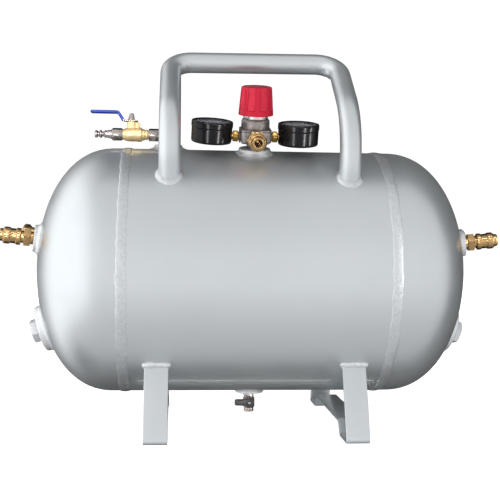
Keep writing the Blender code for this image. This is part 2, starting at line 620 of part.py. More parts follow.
def build_valve_lever(looks, swing):
    """Stem, lever, vinyl grip and nut, which turn together about the stem."""
    stem = [(0, 6.9 * MM), (2.2 * MM, 6.9 * MM), (2.2 * MM, 28.0 * MM), (0, 28.0 * MM)]
    place("ball_valve_stem", turned("ball_valve_stem", stem), looks["steel"], swing)
    seat = 18.1 * MM
    grip_z = 29.3 * MM
    strap_t = 1.6 * MM
    path = rounded_path([(6.4 * MM, seat, 0), (-10.6 * MM, seat, 0), (-17.6 * MM, grip_z, 0),
                         (-51.6 * MM, grip_z, 0)], [3 * MM, 4 * MM], 3)
    flat = (math.pi / 2, 0, 0)
    strap = extruded("ball_valve_lever", strip_outline(path, strap_t), 10.0 * MM)
    lever = place("ball_valve_lever", strap, looks["steel"], swing, (0, 0, 0), flat)
    boolean(lever, rod_tool("lever_eye", 2.6 * MM, 10 * MM, 24 * MM, swing))
    length = 32.8 * MM
    centre_x = -37.0 * MM
    mesh = block("ball_valve_grip", (length, 13.0 * MM, 4.4 * MM), (centre_x, 0, grip_z), 1.2 * MM)
    grip = place("ball_valve_grip", mesh, looks["blue"], swing)
    slot = block("grip_slot", (length, 10.6 * MM, 2.2 * MM), (centre_x + 1.4 * MM, 0, grip_z))
    boolean(grip, place("grip_slot", slot, None, swing))
    low = seat + strap_t / 2 + GAP
    nut = [(2.6 * MM, low), (4.1 * MM, low, "hex"), (3.9 * MM, low + 7.0 * MM, "hex"),
           (2.6 * MM, low + 7.0 * MM)]
    place("ball_valve_lever_nut", turned("ball_valve_lever_nut", nut), looks["steel"], swing)


# ---- drain cock ---------------------------------------------------------
def build_drain(looks, envelope, pieces):
    bottom = AXIS_Z - TANK_R
    port = frame("drain_port", (0, 0, bottom), (math.pi, 0, 0))
    height = 4.6 * MM
    weld_boss("drain_boss", port, DRAIN_BOSS_R - 2.5 * MM, height, THREAD_BORE, looks["paint"],
              envelope, pieces["shell"], skirt=2.5 * MM)
    core_h = 17.4 * MM
    body = [(2.2 * MM, -1.0 * MM), (THREAD_TAIL, -1.0 * MM), (THREAD_TAIL, height + GAP),
            (7.0 * MM, height + GAP, "hex"), (7.0 * MM, height + 5.0 * MM, "hex"),
            (7.65 * MM, height + 5.6 * MM), (7.65 * MM, 24.0 * MM),
            (6.0 * MM, 25.4 * MM), (6.0 * MM, 30.3 * MM), (2.2 * MM, 30.3 * MM)]
    cock = place("drain_cock_body", turned("drain_cock_body", body), looks["steel"], port)
    swing = frame("drain_swing", (0, 0, bottom - core_h), (math.pi / 2, 0, 0))
    boolean(cock, rod_tool("core_way", 3.3 * MM, -20 * MM, 20 * MM, swing))
    core = [(0, -9.4 * MM), (2.9 * MM, -9.4 * MM), (2.9 * MM, 9.0 * MM), (0, 9.0 * MM)]
    place("drain_cock_core", turned("drain_cock_core", core), looks["brass"], swing)
    arm = [(-18.4 * MM, -2.6 * MM), (-5.0 * MM, -3.4 * MM), (-2.0 * MM, -5.4 * MM),
           (3.6 * MM, -5.0 * MM), (6.2 * MM, 0.0), (3.6 * MM, 5.0 * MM), (-2.0 * MM, 5.2 * MM),
           (-5.0 * MM, 3.8 * MM), (-18.4 * MM, 3.6 * MM), (-19.6 * MM, 0.5 * MM)]
    lever = extruded("drain_cock_lever", arm, 2.6 * MM)
    place("drain_cock_lever", lever, looks["black"], swing, (0, 0, 10.6 * MM))


# ---- rear ports ---------------------------------------------------------
def build_rear_ports(looks, envelope, pieces):
    """A relief valve in the left head and a plug in the right one."""
    names = {-1: ("left", "relief_valve_body"), 1: ("right", "right_rear_plug")}
    for side, (word, name) in names.items():
        point, normal = head_surface(side, REAR_Y, REAR_Z)
        port = frame_along(word + "_rear_port", point, normal)
        weld_boss(word + "_rear_boss", port, REAR_BOSS_R, REAR_BOSS_H, THREAD_BORE, looks["paint"],
                  envelope, pieces[word], skirt=2.5 * MM)
        low = REAR_BOSS_H + GAP
        cap = REAR_FITTING - 10.4 * MM
        outline = [(THREAD_TAIL, 0.5 * MM), (THREAD_TAIL, low), (8.2 * MM, low), (8.2 * MM, cap),
                   (9.5 * MM, cap, "hex"), (9.5 * MM, cap + 9.0 * MM, "hex"),
                   (8.6 * MM, REAR_FITTING)]
        way = [(2.6 * MM, REAR_FITTING), (2.6 * MM, 0.5 * MM)]
        if side > 0:
            way = [(0, REAR_FITTING)]
            outline = [(0, 0.5 * MM)] + outline
        place(name, turned(name, outline + way), looks["brass"], port)
        if side < 0:
            build_relief_ring(looks, port)


def build_relief_ring(looks, port):
    """The relief valve's pull: a pin with a ring that hangs from its end."""
    tip = REAR_FITTING + 3.4 * MM
    pin_low = REAR_FITTING - 15.0 * MM
    pin = [(0, pin_low), (1.6 * MM, pin_low), (1.6 * MM, tip), (0, tip)]
    pull = place("relief_valve_ring", turned("relief_valve_ring", pin), looks["steel"], port)
    loop_r = 7.0 * MM
    loop_wire = 1.0 * MM
    outline = []
    for step in range(8):
        angle = 2 * math.pi * step / 8
        outline.append((loop_r + loop_wire * math.cos(angle), loop_wire * math.sin(angle)))
    loop_at = (0, 0.5 * MM - loop_r, tip - 1.2 * MM)
    loop = place("ring_loop", turned("ring_loop", outline, 20), None, port, loop_at)
    boolean(pull, loop, "UNION")


def main():
    clear_scene()
    looks = make_materials()
    envelope, pieces = build_tank(looks)
    build_inspection_plugs(looks, envelope, pieces)
    build_handle(looks, envelope)
    build_brackets(looks, envelope)
    build_end_couplers(looks, envelope, pieces)
    build_regulator(looks, envelope, pieces)
    build_ball_valve(looks, envelope, pieces)
    build_drain(looks, envelope, pieces)
    build_rear_ports(looks, envelope, pieces)


main()
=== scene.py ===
"""Visual model of the portable air receiver tank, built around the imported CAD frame."""
import json
import math

import bmesh
import bpy
from mathutils import Matrix, Vector, noise
from mathutils.bvhtree import BVHTree

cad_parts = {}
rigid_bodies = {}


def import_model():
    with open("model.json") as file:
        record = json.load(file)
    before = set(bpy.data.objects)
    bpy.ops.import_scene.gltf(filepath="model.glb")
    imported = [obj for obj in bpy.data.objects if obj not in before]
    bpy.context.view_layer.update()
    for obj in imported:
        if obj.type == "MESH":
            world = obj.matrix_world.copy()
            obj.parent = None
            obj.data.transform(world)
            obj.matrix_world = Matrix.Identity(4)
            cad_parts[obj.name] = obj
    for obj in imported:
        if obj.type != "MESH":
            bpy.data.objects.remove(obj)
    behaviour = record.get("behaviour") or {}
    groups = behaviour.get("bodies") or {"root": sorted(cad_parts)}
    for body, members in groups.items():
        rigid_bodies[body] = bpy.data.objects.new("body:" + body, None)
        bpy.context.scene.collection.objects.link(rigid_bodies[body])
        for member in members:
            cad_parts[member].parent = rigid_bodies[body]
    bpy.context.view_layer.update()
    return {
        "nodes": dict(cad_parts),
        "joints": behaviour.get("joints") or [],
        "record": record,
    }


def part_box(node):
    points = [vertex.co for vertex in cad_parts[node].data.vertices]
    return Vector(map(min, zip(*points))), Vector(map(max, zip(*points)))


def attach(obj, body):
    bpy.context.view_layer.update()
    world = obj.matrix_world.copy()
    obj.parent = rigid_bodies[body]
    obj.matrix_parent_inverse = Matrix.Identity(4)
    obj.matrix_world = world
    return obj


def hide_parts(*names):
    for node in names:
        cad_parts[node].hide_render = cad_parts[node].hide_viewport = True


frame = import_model()

MM = 0.001
TAU = 2 * math.pi
SIDES = ((-1, "left"), (1, "right"))
JOINTS = {joint["name"]: joint for joint in frame["joints"]}
MOUNTS = {mount["name"]: mount for mount in frame["record"]["mounts"]}


# ---- frames -------------------------------------------------------------
def aligned(origin, axis, across=None):
    """A frame with +Z along an axis, and +X as near as it can be to across."""
    z = Vector(axis).normalized()
    if across is None:
        turn = z.to_track_quat("Z", "Y").to_matrix()
    else:
        x = Vector(across)
        x = (x - z * x.dot(z)).normalized()
        turn = Matrix((x, z.cross(x), z)).transposed()
    return Matrix.Translation(Vector(origin)) @ turn.to_4x4()


def shifted(base, x=0.0, z=0.0, turn=0.0):
    """A frame moved by millimetres along its own axes, and turned about its Z."""
    return base @ Matrix.Translation(Vector((x, 0, z)) * MM) @ Matrix.Rotation(turn, 4, "Z")


SHELL_LOW, SHELL_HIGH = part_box("tank_shell")
TANK_R = (SHELL_HIGH.z - SHELL_LOW.z) / 2
AXIS_Z = (SHELL_HIGH.z + SHELL_LOW.z) / 2
SEAM_X = SHELL_HIGH.x + 0.0003
HEAD_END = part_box("right_head")[1].x
HEAD_FLANGE = 0.016
HEAD_DEPTH = HEAD_END - SEAM_X - HEAD_FLANGE
HEAD_POWER = 2.14
TANK_WALL = 0.0026


def head_frame(side, y, z):
    """A frame on a head, +Z along its outward normal, at Y and Z from the tank's axis."""
    reach = math.hypot(y, z)
    out = (1 - (reach / TANK_R) ** HEAD_POWER) ** (1 / HEAD_POWER)
    slope_x = out ** (HEAD_POWER - 1) / HEAD_DEPTH
    slope_r = (reach / TANK_R) ** (HEAD_POWER - 1) / TANK_R
    point = (side * (SEAM_X + HEAD_FLANGE + HEAD_DEPTH * out), y, AXIS_Z + z)
    return aligned(point, (side * slope_x, slope_r * y / reach, slope_r * z / reach))


def mount_frame(name, across=None):
    """The frame of a round face, whose mount point lies 6 mm off its middle."""
    mount = MOUNTS[name]
    made = aligned(mount["pos_m"], mount["axis"], across)
    return shifted(made, x=-6.0)


TANK = aligned((0, 0, AXIS_Z), (1, 0, 0))
REGULATOR = aligned(JOINTS["regulator_adjust"]["pos_m"], JOINTS["regulator_adjust"]["axis"], (1, 0, 0))
SWING = Matrix.Translation(Vector(JOINTS["ball_valve_turn"]["pos_m"]))
PIPE = aligned(Vector(JOINTS["ball_valve_turn"]["pos_m"]) + Vector((48.8 * MM, 0, 0)), (-1, 0, 0),
               (0, 0, 1))
VALVE_BOSS = Matrix.Translation(Vector((PIPE.translation.x, 0, AXIS_Z + TANK_R)))
DRAIN = aligned((0, 0, AXIS_Z - TANK_R), (0, 0, -1), (1, 0, 0))
DRAIN_SWING = aligned(JOINTS["drain_turn"]["pos_m"], (0, -1, 0), (1, 0, 0))


# ---- materials ----------------------------------------------------------
class Look:
    """A Principled material whose nodes read object coordinates."""

    def __init__(self, name, colour, roughness, metallic=0.0, **plain):
        self.made = bpy.data.materials.new(name)
        self.made.use_nodes = True
        self.nodes = self.made.node_tree.nodes
        self.links = self.made.node_tree.links
        self.shader = self.nodes["Principled BSDF"]
        self.shader.inputs["Metallic"].default_value = metallic
        for key, value in plain.items():
            self.shader.inputs[key.replace("_", " ").title().replace("Ior", "IOR")].default_value = value
        self.place = self.nodes.new("ShaderNodeTexCoord").outputs["Object"]
        self.colour = colour
        self.shader.inputs["Base Color"].default_value = (*colour, 1)
        self.shader.inputs["Roughness"].default_value = roughness
        self.height = None

    def noise(self, scale, detail):
        node = self.nodes.new("ShaderNodeTexNoise")
        node.inputs["Scale"].default_value = scale
        node.inputs["Detail"].default_value = detail
        self.links.new(self.place, node.inputs["Vector"])
        return node.outputs["Fac"]

    def ramp(self, source, low, high, start, end):
        """Maps a value from start..end to low..high."""
        node = self.nodes.new("ShaderNodeMapRange")
        for key, value in (("From Min", start), ("From Max", end), ("To Min", low), ("To Max", high)):
            node.inputs[key].default_value = value
        self.links.new(source, node.inputs["Value"])
        return node.outputs["Result"]

    def tint(self, source, other, amount=1.0):
        """Mixes the colour so far with another one, by a value."""
        node = self.nodes.new("ShaderNodeMix")
        node.data_type = "RGBA"
        factor = source if amount == 1.0 else self.ramp(source, 0.0, amount, 0.0, 1.0)
        self.links.new(factor, node.inputs["Factor"])
        base = self.shader.inputs["Base Color"]
        if base.is_linked:
            self.links.new(base.links[0].from_socket, node.inputs[6])
        else:
            node.inputs[6].default_value = (*self.colour, 1)
        node.inputs[7].default_value = (*other, 1)
        self.links.new(node.outputs[2], base)

    def rough(self, source, low, high):
        """Varies the roughness between two values with a noise."""
        self.links.new(self.ramp(source, low, high, 0.3, 0.7), self.shader.inputs["Roughness"])

    def bump(self, source, distance, strength):
        """Adds a relief in metres to the ones so far."""
        node = self.nodes.new("ShaderNodeBump")
        node.inputs["Strength"].default_value = strength
        node.inputs["Distance"].default_value = distance
        self.links.new(source, node.inputs["Height"])
        if self.height is not None:
            self.links.new(self.height, node.inputs["Normal"])
        self.height = node.outputs["Normal"]
        self.links.new(self.height, self.shader.inputs["Normal"])

    def lathe_rings(self, pitch):
        """Fine rings about the piece's Z, as a lathe leaves them."""
        node = self.nodes.new("ShaderNodeTexWave")
        node.bands_direction = "Z"
        node.inputs["Scale"].default_value = 0.314 / pitch
        node.inputs["Distortion"].default_value = 1.5
        node.inputs["Detail"].default_value = 1.0
        node.inputs["Detail Scale"].default_value = 0.5
        self.links.new(self.place, node.inputs["Vector"])
        return node.outputs["Fac"]

    def mask(self, name):
        """A value kept on the mesh's points."""
        node = self.nodes.new("ShaderNodeAttribute")
        node.attribute_name = name
        return node.outputs["Fac"]


def spread(source, look, middle=0.5, width=0.2):
    """Stretches a noise's middle values to 0..1."""
    return look.ramp(source, 0.0, 1.0, middle - width, middle + width)


def paint_look(name, colour, dust, metallic, rough, pits=0.0):
    """Silver enamel with orange peel, faint mottling and a little dust."""
    look = Look(name, colour, rough, metallic, coat_weight=0.45, coat_roughness=0.07)
    look.tint(spread(look.noise(7, 3), look), tuple(c * 0.94 for c in colour), 0.8)
    look.tint(spread(look.noise(26, 4), look, 0.6, 0.15), dust, 0.10)
    look.rough(look.noise(24, 3), rough - 0.04, rough + 0.04)
    look.bump(look.noise(260, 1), 0.00005, 0.4)
    look.bump(look.noise(40, 1), 0.00020, 0.3)
    if pits:
        look.tint(spread(look.noise(330, 3), look, 0.5, 0.12), tuple(c * 0.84 for c in colour), 0.7)
        look.bump(look.noise(420, 3), pits, 0.8)
    return look.made


def brass_look(name, colour, roughness, cast):
    look = Look(name, colour, roughness, 0.85 if cast else 1.0)
    look.tint(spread(look.noise(140, 4), look), tuple(c * 0.8 for c in colour), 0.8)
    look.tint(spread(look.noise(45, 5), look, 0.62, 0.08), (0.42, 0.25, 0.09), 0.3)
    look.rough(look.noise(260, 4), roughness * 0.75, roughness * 1.35)
    if cast:
        look.bump(look.noise(900, 3), 0.00012, 0.8)
    else:
        look.bump(look.lathe_rings(0.00035), 0.00004, 0.35)
    return look.made


def steel_look(name, colour, roughness):
    look = Look(name, colour, roughness, 1.0)
    look.tint(spread(look.noise(170, 4), look), tuple(c * 0.6 for c in colour), 0.8)
    look.rough(look.noise(320, 4), roughness * 0.6, roughness * 1.6)
    look.bump(look.lathe_rings(0.0004), 0.00003, 0.3)
    return look.made


# Each finish is a material with the slot that it fills.
PAINT = paint_look("silver_enamel", (0.605, 0.64, 0.66), (0.70, 0.70, 0.69), 0.74, 0.38), "tank_paint"
WELD = paint_look("weld_enamel", (0.67, 0.69, 0.71), (0.78, 0.78, 0.77), 0.45, 0.42), "tank_paint"
SEAM_WELD = paint_look("seam_weld_enamel", (0.62, 0.65, 0.67), (0.80, 0.80, 0.79),
                       0.66, 0.36, 0.0006), "tank_paint"
BRASS = brass_look("machined_brass", (0.55, 0.36, 0.165), 0.19, False), "brass"
# Painted shade: a darker copy of the machined brass for the gauge stems, which sit in the gauges' shade.
SHADED_BRASS = brass_look("aged_brass", (0.37, 0.225, 0.065), 0.2, False), "brass"
CAST_BRASS = brass_look("forged_brass", (0.90, 0.69, 0.38), 0.45, True), "brass"
STEEL = steel_look("nickel_plated_steel", (0.46, 0.41, 0.39), 0.15), "plated_steel"
ZINC = steel_look("zinc_plated_steel", (0.46, 0.42, 0.39), 0.2), "plated_steel"
BRIGHT = steel_look("bright_zinc", (0.90, 0.89, 0.87), 0.22), "plated_steel"


def die_cast_look():
    look = Look("die_cast_zinc", (0.46, 0.42, 0.40), 0.38, 0.85)
    look.tint(spread(look.noise(190, 5), look, 0.5, 0.12), (0.22, 0.205, 0.20), 0.8)
    look.rough(look.noise(300, 4), 0.36, 0.55)
    look.bump(look.noise(1300, 3), 0.00010, 0.7)
    return look.made


def knob_look():
    """Moulded red plastic: glossy ribs, and frosted panels between them, with painted shade along the panel
    edges and on the top disc.
    """
    look = Look("red_plastic", (0.56, 0.008, 0.036), 0.32, 0.0, specular_ior_level=0.25)
    look.tint(look.mask("panel"), (0.68, 0.034, 0.070), 0.8)
    # Painted shade: darker red along the panel edges, where the panels step down.
    look.tint(look.mask("groove"), (0.20, 0.003, 0.012), 0.9)
    # Painted shade: the top disc, which faces up, is darker.
    look.tint(look.mask("crown"), (0.22, 0.008, 0.020), 1.0)
    look.tint(spread(look.noise(70, 4), look), (0.40, 0.005, 0.022), 0.5)
    look.links.new(look.ramp(look.mask("panel"), 0.28, 0.55, 0.0, 1.0), look.shader.inputs["Roughness"])
    look.bump(look.noise(1500, 2), 0.00006, 0.6)
    return look.made


def vinyl_look():
    look = Look("blue_vinyl", (0.004, 0.045, 0.36), 0.3, 0.0, coat_weight=0.2, coat_roughness=0.1,
                specular_ior_level=0.3)
    look.tint(spread(look.noise(90, 4), look), (0.004, 0.03, 0.26), 0.8)
    look.rough(look.noise(200, 3), 0.22, 0.38)
    look.bump(look.noise(260, 3), 0.00020, 0.6)
    return look.made


def black_look():
    look = Look("black_gloss_enamel", (0.004, 0.0035, 0.0045), 0.16, 0.0, specular_ior_level=0.18)
    look.tint(spread(look.noise(160, 5), look, 0.64, 0.08), (0.012, 0.012, 0.014), 0.5)
    look.rough(look.noise(120, 4), 0.15, 0.24)
    look.bump(look.noise(500, 2), 0.00003, 0.3)
    return look.made


def plastic_look(name, colour, other, roughness):
    look = Look(name, colour, roughness, 0.0)
    look.tint(spread(look.noise(110, 4), look), other, 0.7)
    look.rough(look.noise(240, 3), roughness * 0.8, roughness * 1.25)
    look.bump(look.noise(1200, 2), 0.00005, 0.5)
    return look.made


def glass_look():
    look = Look("gauge_glass", (0.70, 0.68, 0.76), 0.2, 0.0, ior=1.49, transmission_weight=1.0)
    look.rough(look.noise(80, 3), 0.16, 0.24)
    look.bump(look.noise(30, 1), 0.0001, 0.15)
    return look.made


DIE_CAST = die_cast_look(), "die_cast"
RED = knob_look(), "red_plastic"
BLUE = vinyl_look(), "blue_vinyl"
BLACK = black_look(), "black_gloss"
BLACK_PLASTIC = plastic_look("black_plastic", (0.018, 0.017, 0.018),
                             (0.035, 0.033, 0.033), 0.38), "black_gloss"
RUBBER = plastic_look("black_rubber", (0.02, 0.02, 0.02), (0.035, 0.035, 0.035), 0.6), "rubber"
DIAL = plastic_look("white_dial", (0.82, 0.82, 0.80), (0.76, 0.76, 0.74), 0.45), "dial_white"
INK = plastic_look("dial_ink", (0.02, 0.02, 0.022), (0.035, 0.035, 0.04), 0.5), "black_gloss"
GLASS = glass_look(), "lens"


# ---- mesh tools ---------------------------------------------------------
def piece(name, points, faces, finish, body, nodes=(), at=None, sharp=38, masks=None):
    """A new mesh piece: it has a finish, rides on a body and stands for the CAD nodes named."""
    look, slot = finish
    mesh = bpy.data.meshes.new(name)
    mesh.from_pydata([tuple(p) for p in points], [], faces)
    for key, values in (masks or {}).items():
        mesh.attributes.new(key, "FLOAT", "POINT").data.foreach_set("value", values)
    bm = bmesh.new()
    bm.from_mesh(mesh)
    bmesh.ops.remove_doubles(bm, verts=bm.verts, dist=1e-7)
    bmesh.ops.recalc_face_normals(bm, faces=bm.faces)
    bm.to_mesh(mesh)
    bm.free()
    mesh.shade_smooth()
    mesh.set_sharp_from_angle(angle=math.radians(sharp))
    mesh.materials.append(look)
    made = bpy.data.objects.new(name, mesh)
    bpy.context.collection.objects.link(made)
    if at is not None:
        made.matrix_world = at
    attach(made, body)
    if nodes:
        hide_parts(*nodes)
    return made


def skin(rings, closed_path=False):
    """Points and faces of a surface through rings of as many points each."""
    count = len(rings[0])
    points = [p for ring in rings for p in ring]
    faces = []
    spans = len(rings) if closed_path else len(rings) - 1
    for row in range(spans):
        low = row * count
        high = ((row + 1) % len(rings)) * count
        for step in range(count):
            after = (step + 1) % count
            faces.append((low + step, low + after, high + after, high + step))
    if not closed_path:
        faces.append(tuple(range(count))[::-1])
        faces.append(tuple(range(len(points) - count, len(points))))
    return points, faces


CORNER_STEPS = 4


def rounded_corners(outline, closed):
    """Turns each corner with a radius into an arc. Items are (x, y, radius, tag)."""
    made = []
    count = len(outline)
    for index, (x, y, radius, tag) in enumerate(outline):
        ends = index in (0, count - 1) and not closed
        if ends or radius <= 0:
            made.append((x, y, tag))
            continue
        here = Vector((x, y))
        before = Vector(outline[index - 1][:2])
        after = Vector(outline[(index + 1) % count][:2])
        arrive = here - before
        leave = after - here
        turn = arrive.angle(leave, 0.0)
        if turn < 0.02:
            made.append((x, y, tag))
            continue
        trim = min(radius * math.tan(turn / 2), 0.45 * arrive.length, 0.45 * leave.length)
        start = here - arrive.normalized() * trim
        end = here + leave.normalized() * trim
        for step in range(CORNER_STEPS + 1):
            t = step / CORNER_STEPS
            at = start * (1 - t) ** 2 + here * 2 * t * (1 - t) + end * t ** 2
            made.append((at.x, at.y, tag))
    return made


def hexagon(angle, half):
    """How far a hexagon reaches at an angle."""
    within = (angle + math.pi / 6) % (math.pi / 3) - math.pi / 6
    return half / math.cos(within)


def nut(half, low, high, chamfer):
    """Outline of a chamfered hexagon's outside, between two heights."""
    corner = half * 1.16
    face = half * 0.985
    return [(face, low, 0, half), (corner, low + chamfer, 0, half),
            (corner, high - chamfer, 0, half), (face, high, 0, half)]


def turned(name, outline, at, finish, body, nodes=(), sides=72, shape=None, sharp=38, masks=None):
    """A piece turned about Z, from items (radius, height, rounding, tag) in mm.
    A number as tag is the half width of a hexagon; other tags go to shape."""
    full = [(*item, *((0.35, None)[len(item) - 2:])) for item in outline]
    closed = full[0][0] > 0
    rows = rounded_corners(full, closed)
    points = []
    rings = []
    values = {key: [] for key in masks or ()}
    for radius, height, tag in rows:
        if radius < 1e-6:
            rings.append([len(points)])
            points.append(Vector((0, 0, height)) * MM)
            for key in values:
                values[key].append(masks[key](0.0, 0.0, height))
            continue
        ring = []
        for step in range(sides):
            angle = TAU * step / sides
            reach = radius
            if isinstance(tag, (int, float)):
                reach = min(radius, hexagon(angle, tag))
            elif tag is not None:
                reach = shape(tag, angle, radius, height)
            ring.append(len(points))
            points.append(Vector((reach * math.cos(angle), reach * math.sin(angle), height)) * MM)
            for key in values:
                values[key].append(masks[key](angle, radius, height))
        rings.append(ring)
    faces = []
    pairs = list(zip(rings, rings[1:]))
    if closed:
        pairs.append((rings[-1], rings[0]))
    for low, high in pairs:
        for step in range(max(len(low), len(high))):
            after = (step + 1) % sides
            if len(low) == 1:
                faces.append((low[0], high[after], high[step]))
            elif len(high) == 1:
                faces.append((low[step], low[after], high[0]))
            else:
                faces.append((low[step], low[after], high[after], high[step]))
    return piece(name, points, faces, finish, body, nodes, at, sharp, values)


def rounded_path(points, radii, steps, straight):
    """A path through points, with arcs for its inner corners and points along
    its straights."""
    points = [Vector(point) for point in points]
    path = [points[0]]
    for before, corner, after, radius in zip(points, points[1:], points[2:], radii):
        arrive = (corner - before).normalized()
        leave = (after - corner).normalized()
        turn = arrive.angle(leave)
        start = corner - arrive * radius * math.tan(turn / 2)
        centre = corner + (leave - arrive).normalized() * radius / math.cos(turn / 2)
        axis = arrive.cross(leave)
        last = path[-1]
        for step in range(1, straight):
            path.append(last.lerp(start, step / straight))
        for step in range(steps + 1):
            path.append(centre + Matrix.Rotation(turn * step / steps, 3, axis) @ (start - centre))
    last = path[-1]
    for step in range(1, straight + 1):
        path.append(last.lerp(points[-1], step / straight))
    return path


def sweep_frames(path, closed=False, side=None):
    """Point, side and across directions along a path, with the least twist."""
    made = []
    count = len(path)
    for index, point in enumerate(path):
        before = path[index - 1] if index or closed else point
        after = path[(index + 1) % count] if index < count - 1 or closed else point
        tangent = (after - before).normalized()
        if side is None:
            side = tangent.orthogonal()
        side = (side - tangent * side.dot(tangent)).normalized()
        made.append((point, side, tangent.cross(side)))
    return made


def ring_about(point, along, across, radius, sides):
    """A circle of points about a point, in the plane of two directions."""
    return [point + (along * math.cos(TAU * k / sides) + across * math.sin(TAU * k / sides)) * radius
            for k in range(sides)]


def tube(name, path, radius, bore, finish, nodes, sides):
    """A round pipe in mm along a path in metres."""
    rings = []
    frames = sweep_frames(path)
    for reach, row in ((radius, frames), (bore, frames[::-1])):
        rings += [ring_about(*spot, reach * MM, sides) for spot in row]
    points, faces = skin(rings, closed_path=True)
    return piece(name, points, faces, finish, "tank", nodes)


BEAD_STEPS = 12


def bead(name, path, outs, width, height, finish, seed, pitch, lump, closed=True, sink=1.2,
         nodes=(), taper=0, crown=0.9):
    """A weld bead in mm along a path on a surface, raised along its normals.
    Its ends taper over a number of points, and its foot sinks in under 0.42 of its width."""
    rings = []
    count = len(path)
    travelled = 0.0
    for index, point in enumerate(path):
        before = path[index - 1] if index or closed else point
        after = path[(index + 1) % count] if index < count - 1 or closed else point
        tangent = (after - before).normalized()
        out = outs[index]
        across = tangent.cross(out).normalized()
        out = across.cross(tangent).normalized()
        travelled += (after - before).length / 2
        spot = point * 95 + Vector((seed, seed * 0.7, 0))
        wide = 1 + lump * noise.noise(spot)
        tall = 1 + 1.2 * lump * noise.noise(spot * 1.7 + Vector((5, 1, seed)))
        ripple = 0.06 * math.sin(TAU * travelled / (pitch * MM))
        swing = across * (noise.noise(spot * 0.8 + Vector((9, seed, 3))) * width * lump * 0.6 * MM)
        if taper:
            end = min(index, count - 1 - index) / taper
            ease = math.sqrt(max(0.02, 1 - (1 - min(1.0, end)) ** 2))
            wide, tall = wide * (0.55 + 0.45 * ease), tall * ease
        ring = []
        for k in range(BEAD_STEPS + 1):
            angle = math.pi * k / BEAD_STEPS
            reach = math.cos(angle) * width / 2 * wide
            rise = math.sin(angle) ** crown * height * (tall + ripple * math.sin(angle))
            ring.append(point + swing + across * reach * MM + out * rise * MM)
        for way in (-1, 1):
            ring.append(point + swing + across * way * width * 0.42 * MM - out * sink * MM)
        rings.append(ring)
    points, faces = skin(rings, closed_path=closed)
    return piece(name, points, faces, finish, "tank", nodes, sharp=60)


# ---- tank ---------------------------------------------------------------
def dome_outline(radius, depth, steps):
    made = []
    for step in range(steps + 1):
        turn = math.pi / 2 * step / steps
        reach = 0.0 if step == steps else radius * math.cos(turn) ** (2 / HEAD_POWER)
        rise = SEAM_X + HEAD_FLANGE + depth * math.sin(turn) ** (2 / HEAD_POWER)
        made.append((reach / MM, rise / MM, 0))
    return made


def build_tank():
    inner = TANK_R - TANK_WALL
    seam = SEAM_X / MM
    sides = 192
    columns = 24
    outside = [(TANK_R / MM, seam - 2 * seam * k / columns, 0) for k in range(columns + 1)]
    inside = [(inner / MM, -seam, 0), (inner / MM, seam, 0)]
    shell = turned("tank_shell_skin", outside + inside, TANK, PAINT, "tank",
                   ["tank_shell"], sides)
    skins = [shell]
    for side, word in SIDES:
        outer = [(TANK_R / MM, seam + 0.05, 0)] + dome_outline(TANK_R, HEAD_DEPTH, 56)
        within = [(inner / MM, seam + 0.05, 0)] + dome_outline(inner, HEAD_DEPTH - TANK_WALL, 20)
        at = aligned((0, 0, AXIS_Z), (side, 0, 0))
        skins.append(turned(word + "_head_skin", outer[::-1] + within, at, PAINT, "tank", [word + "_head"],
                            sides))
        path = []
        outs = []
        for step in range(360):
            angle = TAU * step / 360
            out = Vector((0, math.cos(angle), math.sin(angle)))
            path.append(Vector((side * SEAM_X, 0, AXIS_Z)) + out * (TANK_R - 0.0002))
            outs.append(out)
        bead(word + "_girth_weld_bead", path, outs, 12.8, 1.3, SEAM_WELD,
             seed=3 * side, pitch=2.6, lump=0.15, nodes=[word + "_girth_weld"], crown=0.95)
    points = []
    faces = []
    for made in skins:
        start = len(points)
        points += [made.matrix_world @ v.co for v in made.data.vertices]
        faces += [[start + k for k in face.vertices] for face in made.data.polygons]
    return BVHTree.FromPolygons(points, faces)


SURFACE = build_tank()


def landing(at, radius, angle):
    """Where a line along a frame's -Z meets the tank: its height, point and normal."""
    start = at @ Vector((radius * math.cos(angle) * MM, radius * math.sin(angle) * MM, 0.08))
    down = -(at.to_3x3() @ Vector((0, 0, 1)))
    point, normal, _, distance = SURFACE.ray_cast(start, down)
    return (0.08 - distance) / MM, point, normal


def boss(name, at, radius, height, skirt, seed, hole=6.2, nodes=(), edge=1.2):
    """A weld-on boss, with a fillet weld that follows the tank's surface."""
    sides = 96
    rings = []
    ground = [landing(at, radius + skirt, TAU * k / sides)[0] for k in range(sides)]
    near = [landing(at, radius, TAU * k / sides)[0] for k in range(sides)]
    rows = [(hole, -2.0, 0, 0), (hole, height - 0.5, 0, 0), (hole + 0.5, height, 0, 0),
            (radius - edge, height, 0, 0), (radius - edge * 0.3, height - edge * 0.3, 0, 0),
            (radius, height - edge, 0, 0)]
    for step in range(7):
        t = step / 6
        out = t ** 1.4
        rows.append((radius + skirt * out, 0.0, 1, (1 - t) ** 1.6))
    rows.append((radius + skirt - 1.0, -3.5, 2, 0))
    rows.append((hole + 1.0, -8.0, 0, 0))
    for reach, z, kind, share in rows:
        ring = []
        for k in range(sides):
            angle = TAU * k / sides
            r = reach
            height_here = z
            if kind:
                spot = Vector((math.cos(angle) * 2.4, math.sin(angle) * 2.4, seed))
                wave = noise.noise(spot * 1.6) * 0.5 + noise.noise(spot * 4.1) * 0.35
                ripple = 0.10 * math.sin(angle * (radius + skirt) / 0.55)
                top = max(near[k], ground[k]) + min(height * 0.62, 4.2)
                blend = 1 - share
                height_here = top * share + (ground[k] + 0.15) * blend
                if kind == 1:
                    bulge = 4 * share * blend
                    height_here += bulge * (wave * 0.55 + ripple) + 0.5 * bulge
                    r += blend * wave * skirt * 0.22
                else:
                    height_here = ground[k] + z
            ring.append(Vector((r * math.cos(angle), r * math.sin(angle), height_here)) * MM)
        rings.append(ring)
    points, faces = skin(rings, closed_path=True)
    return piece(name, points, faces, WELD, "tank", nodes, at, sharp=50)


REAR_PORT = (0.040, 0.0435)


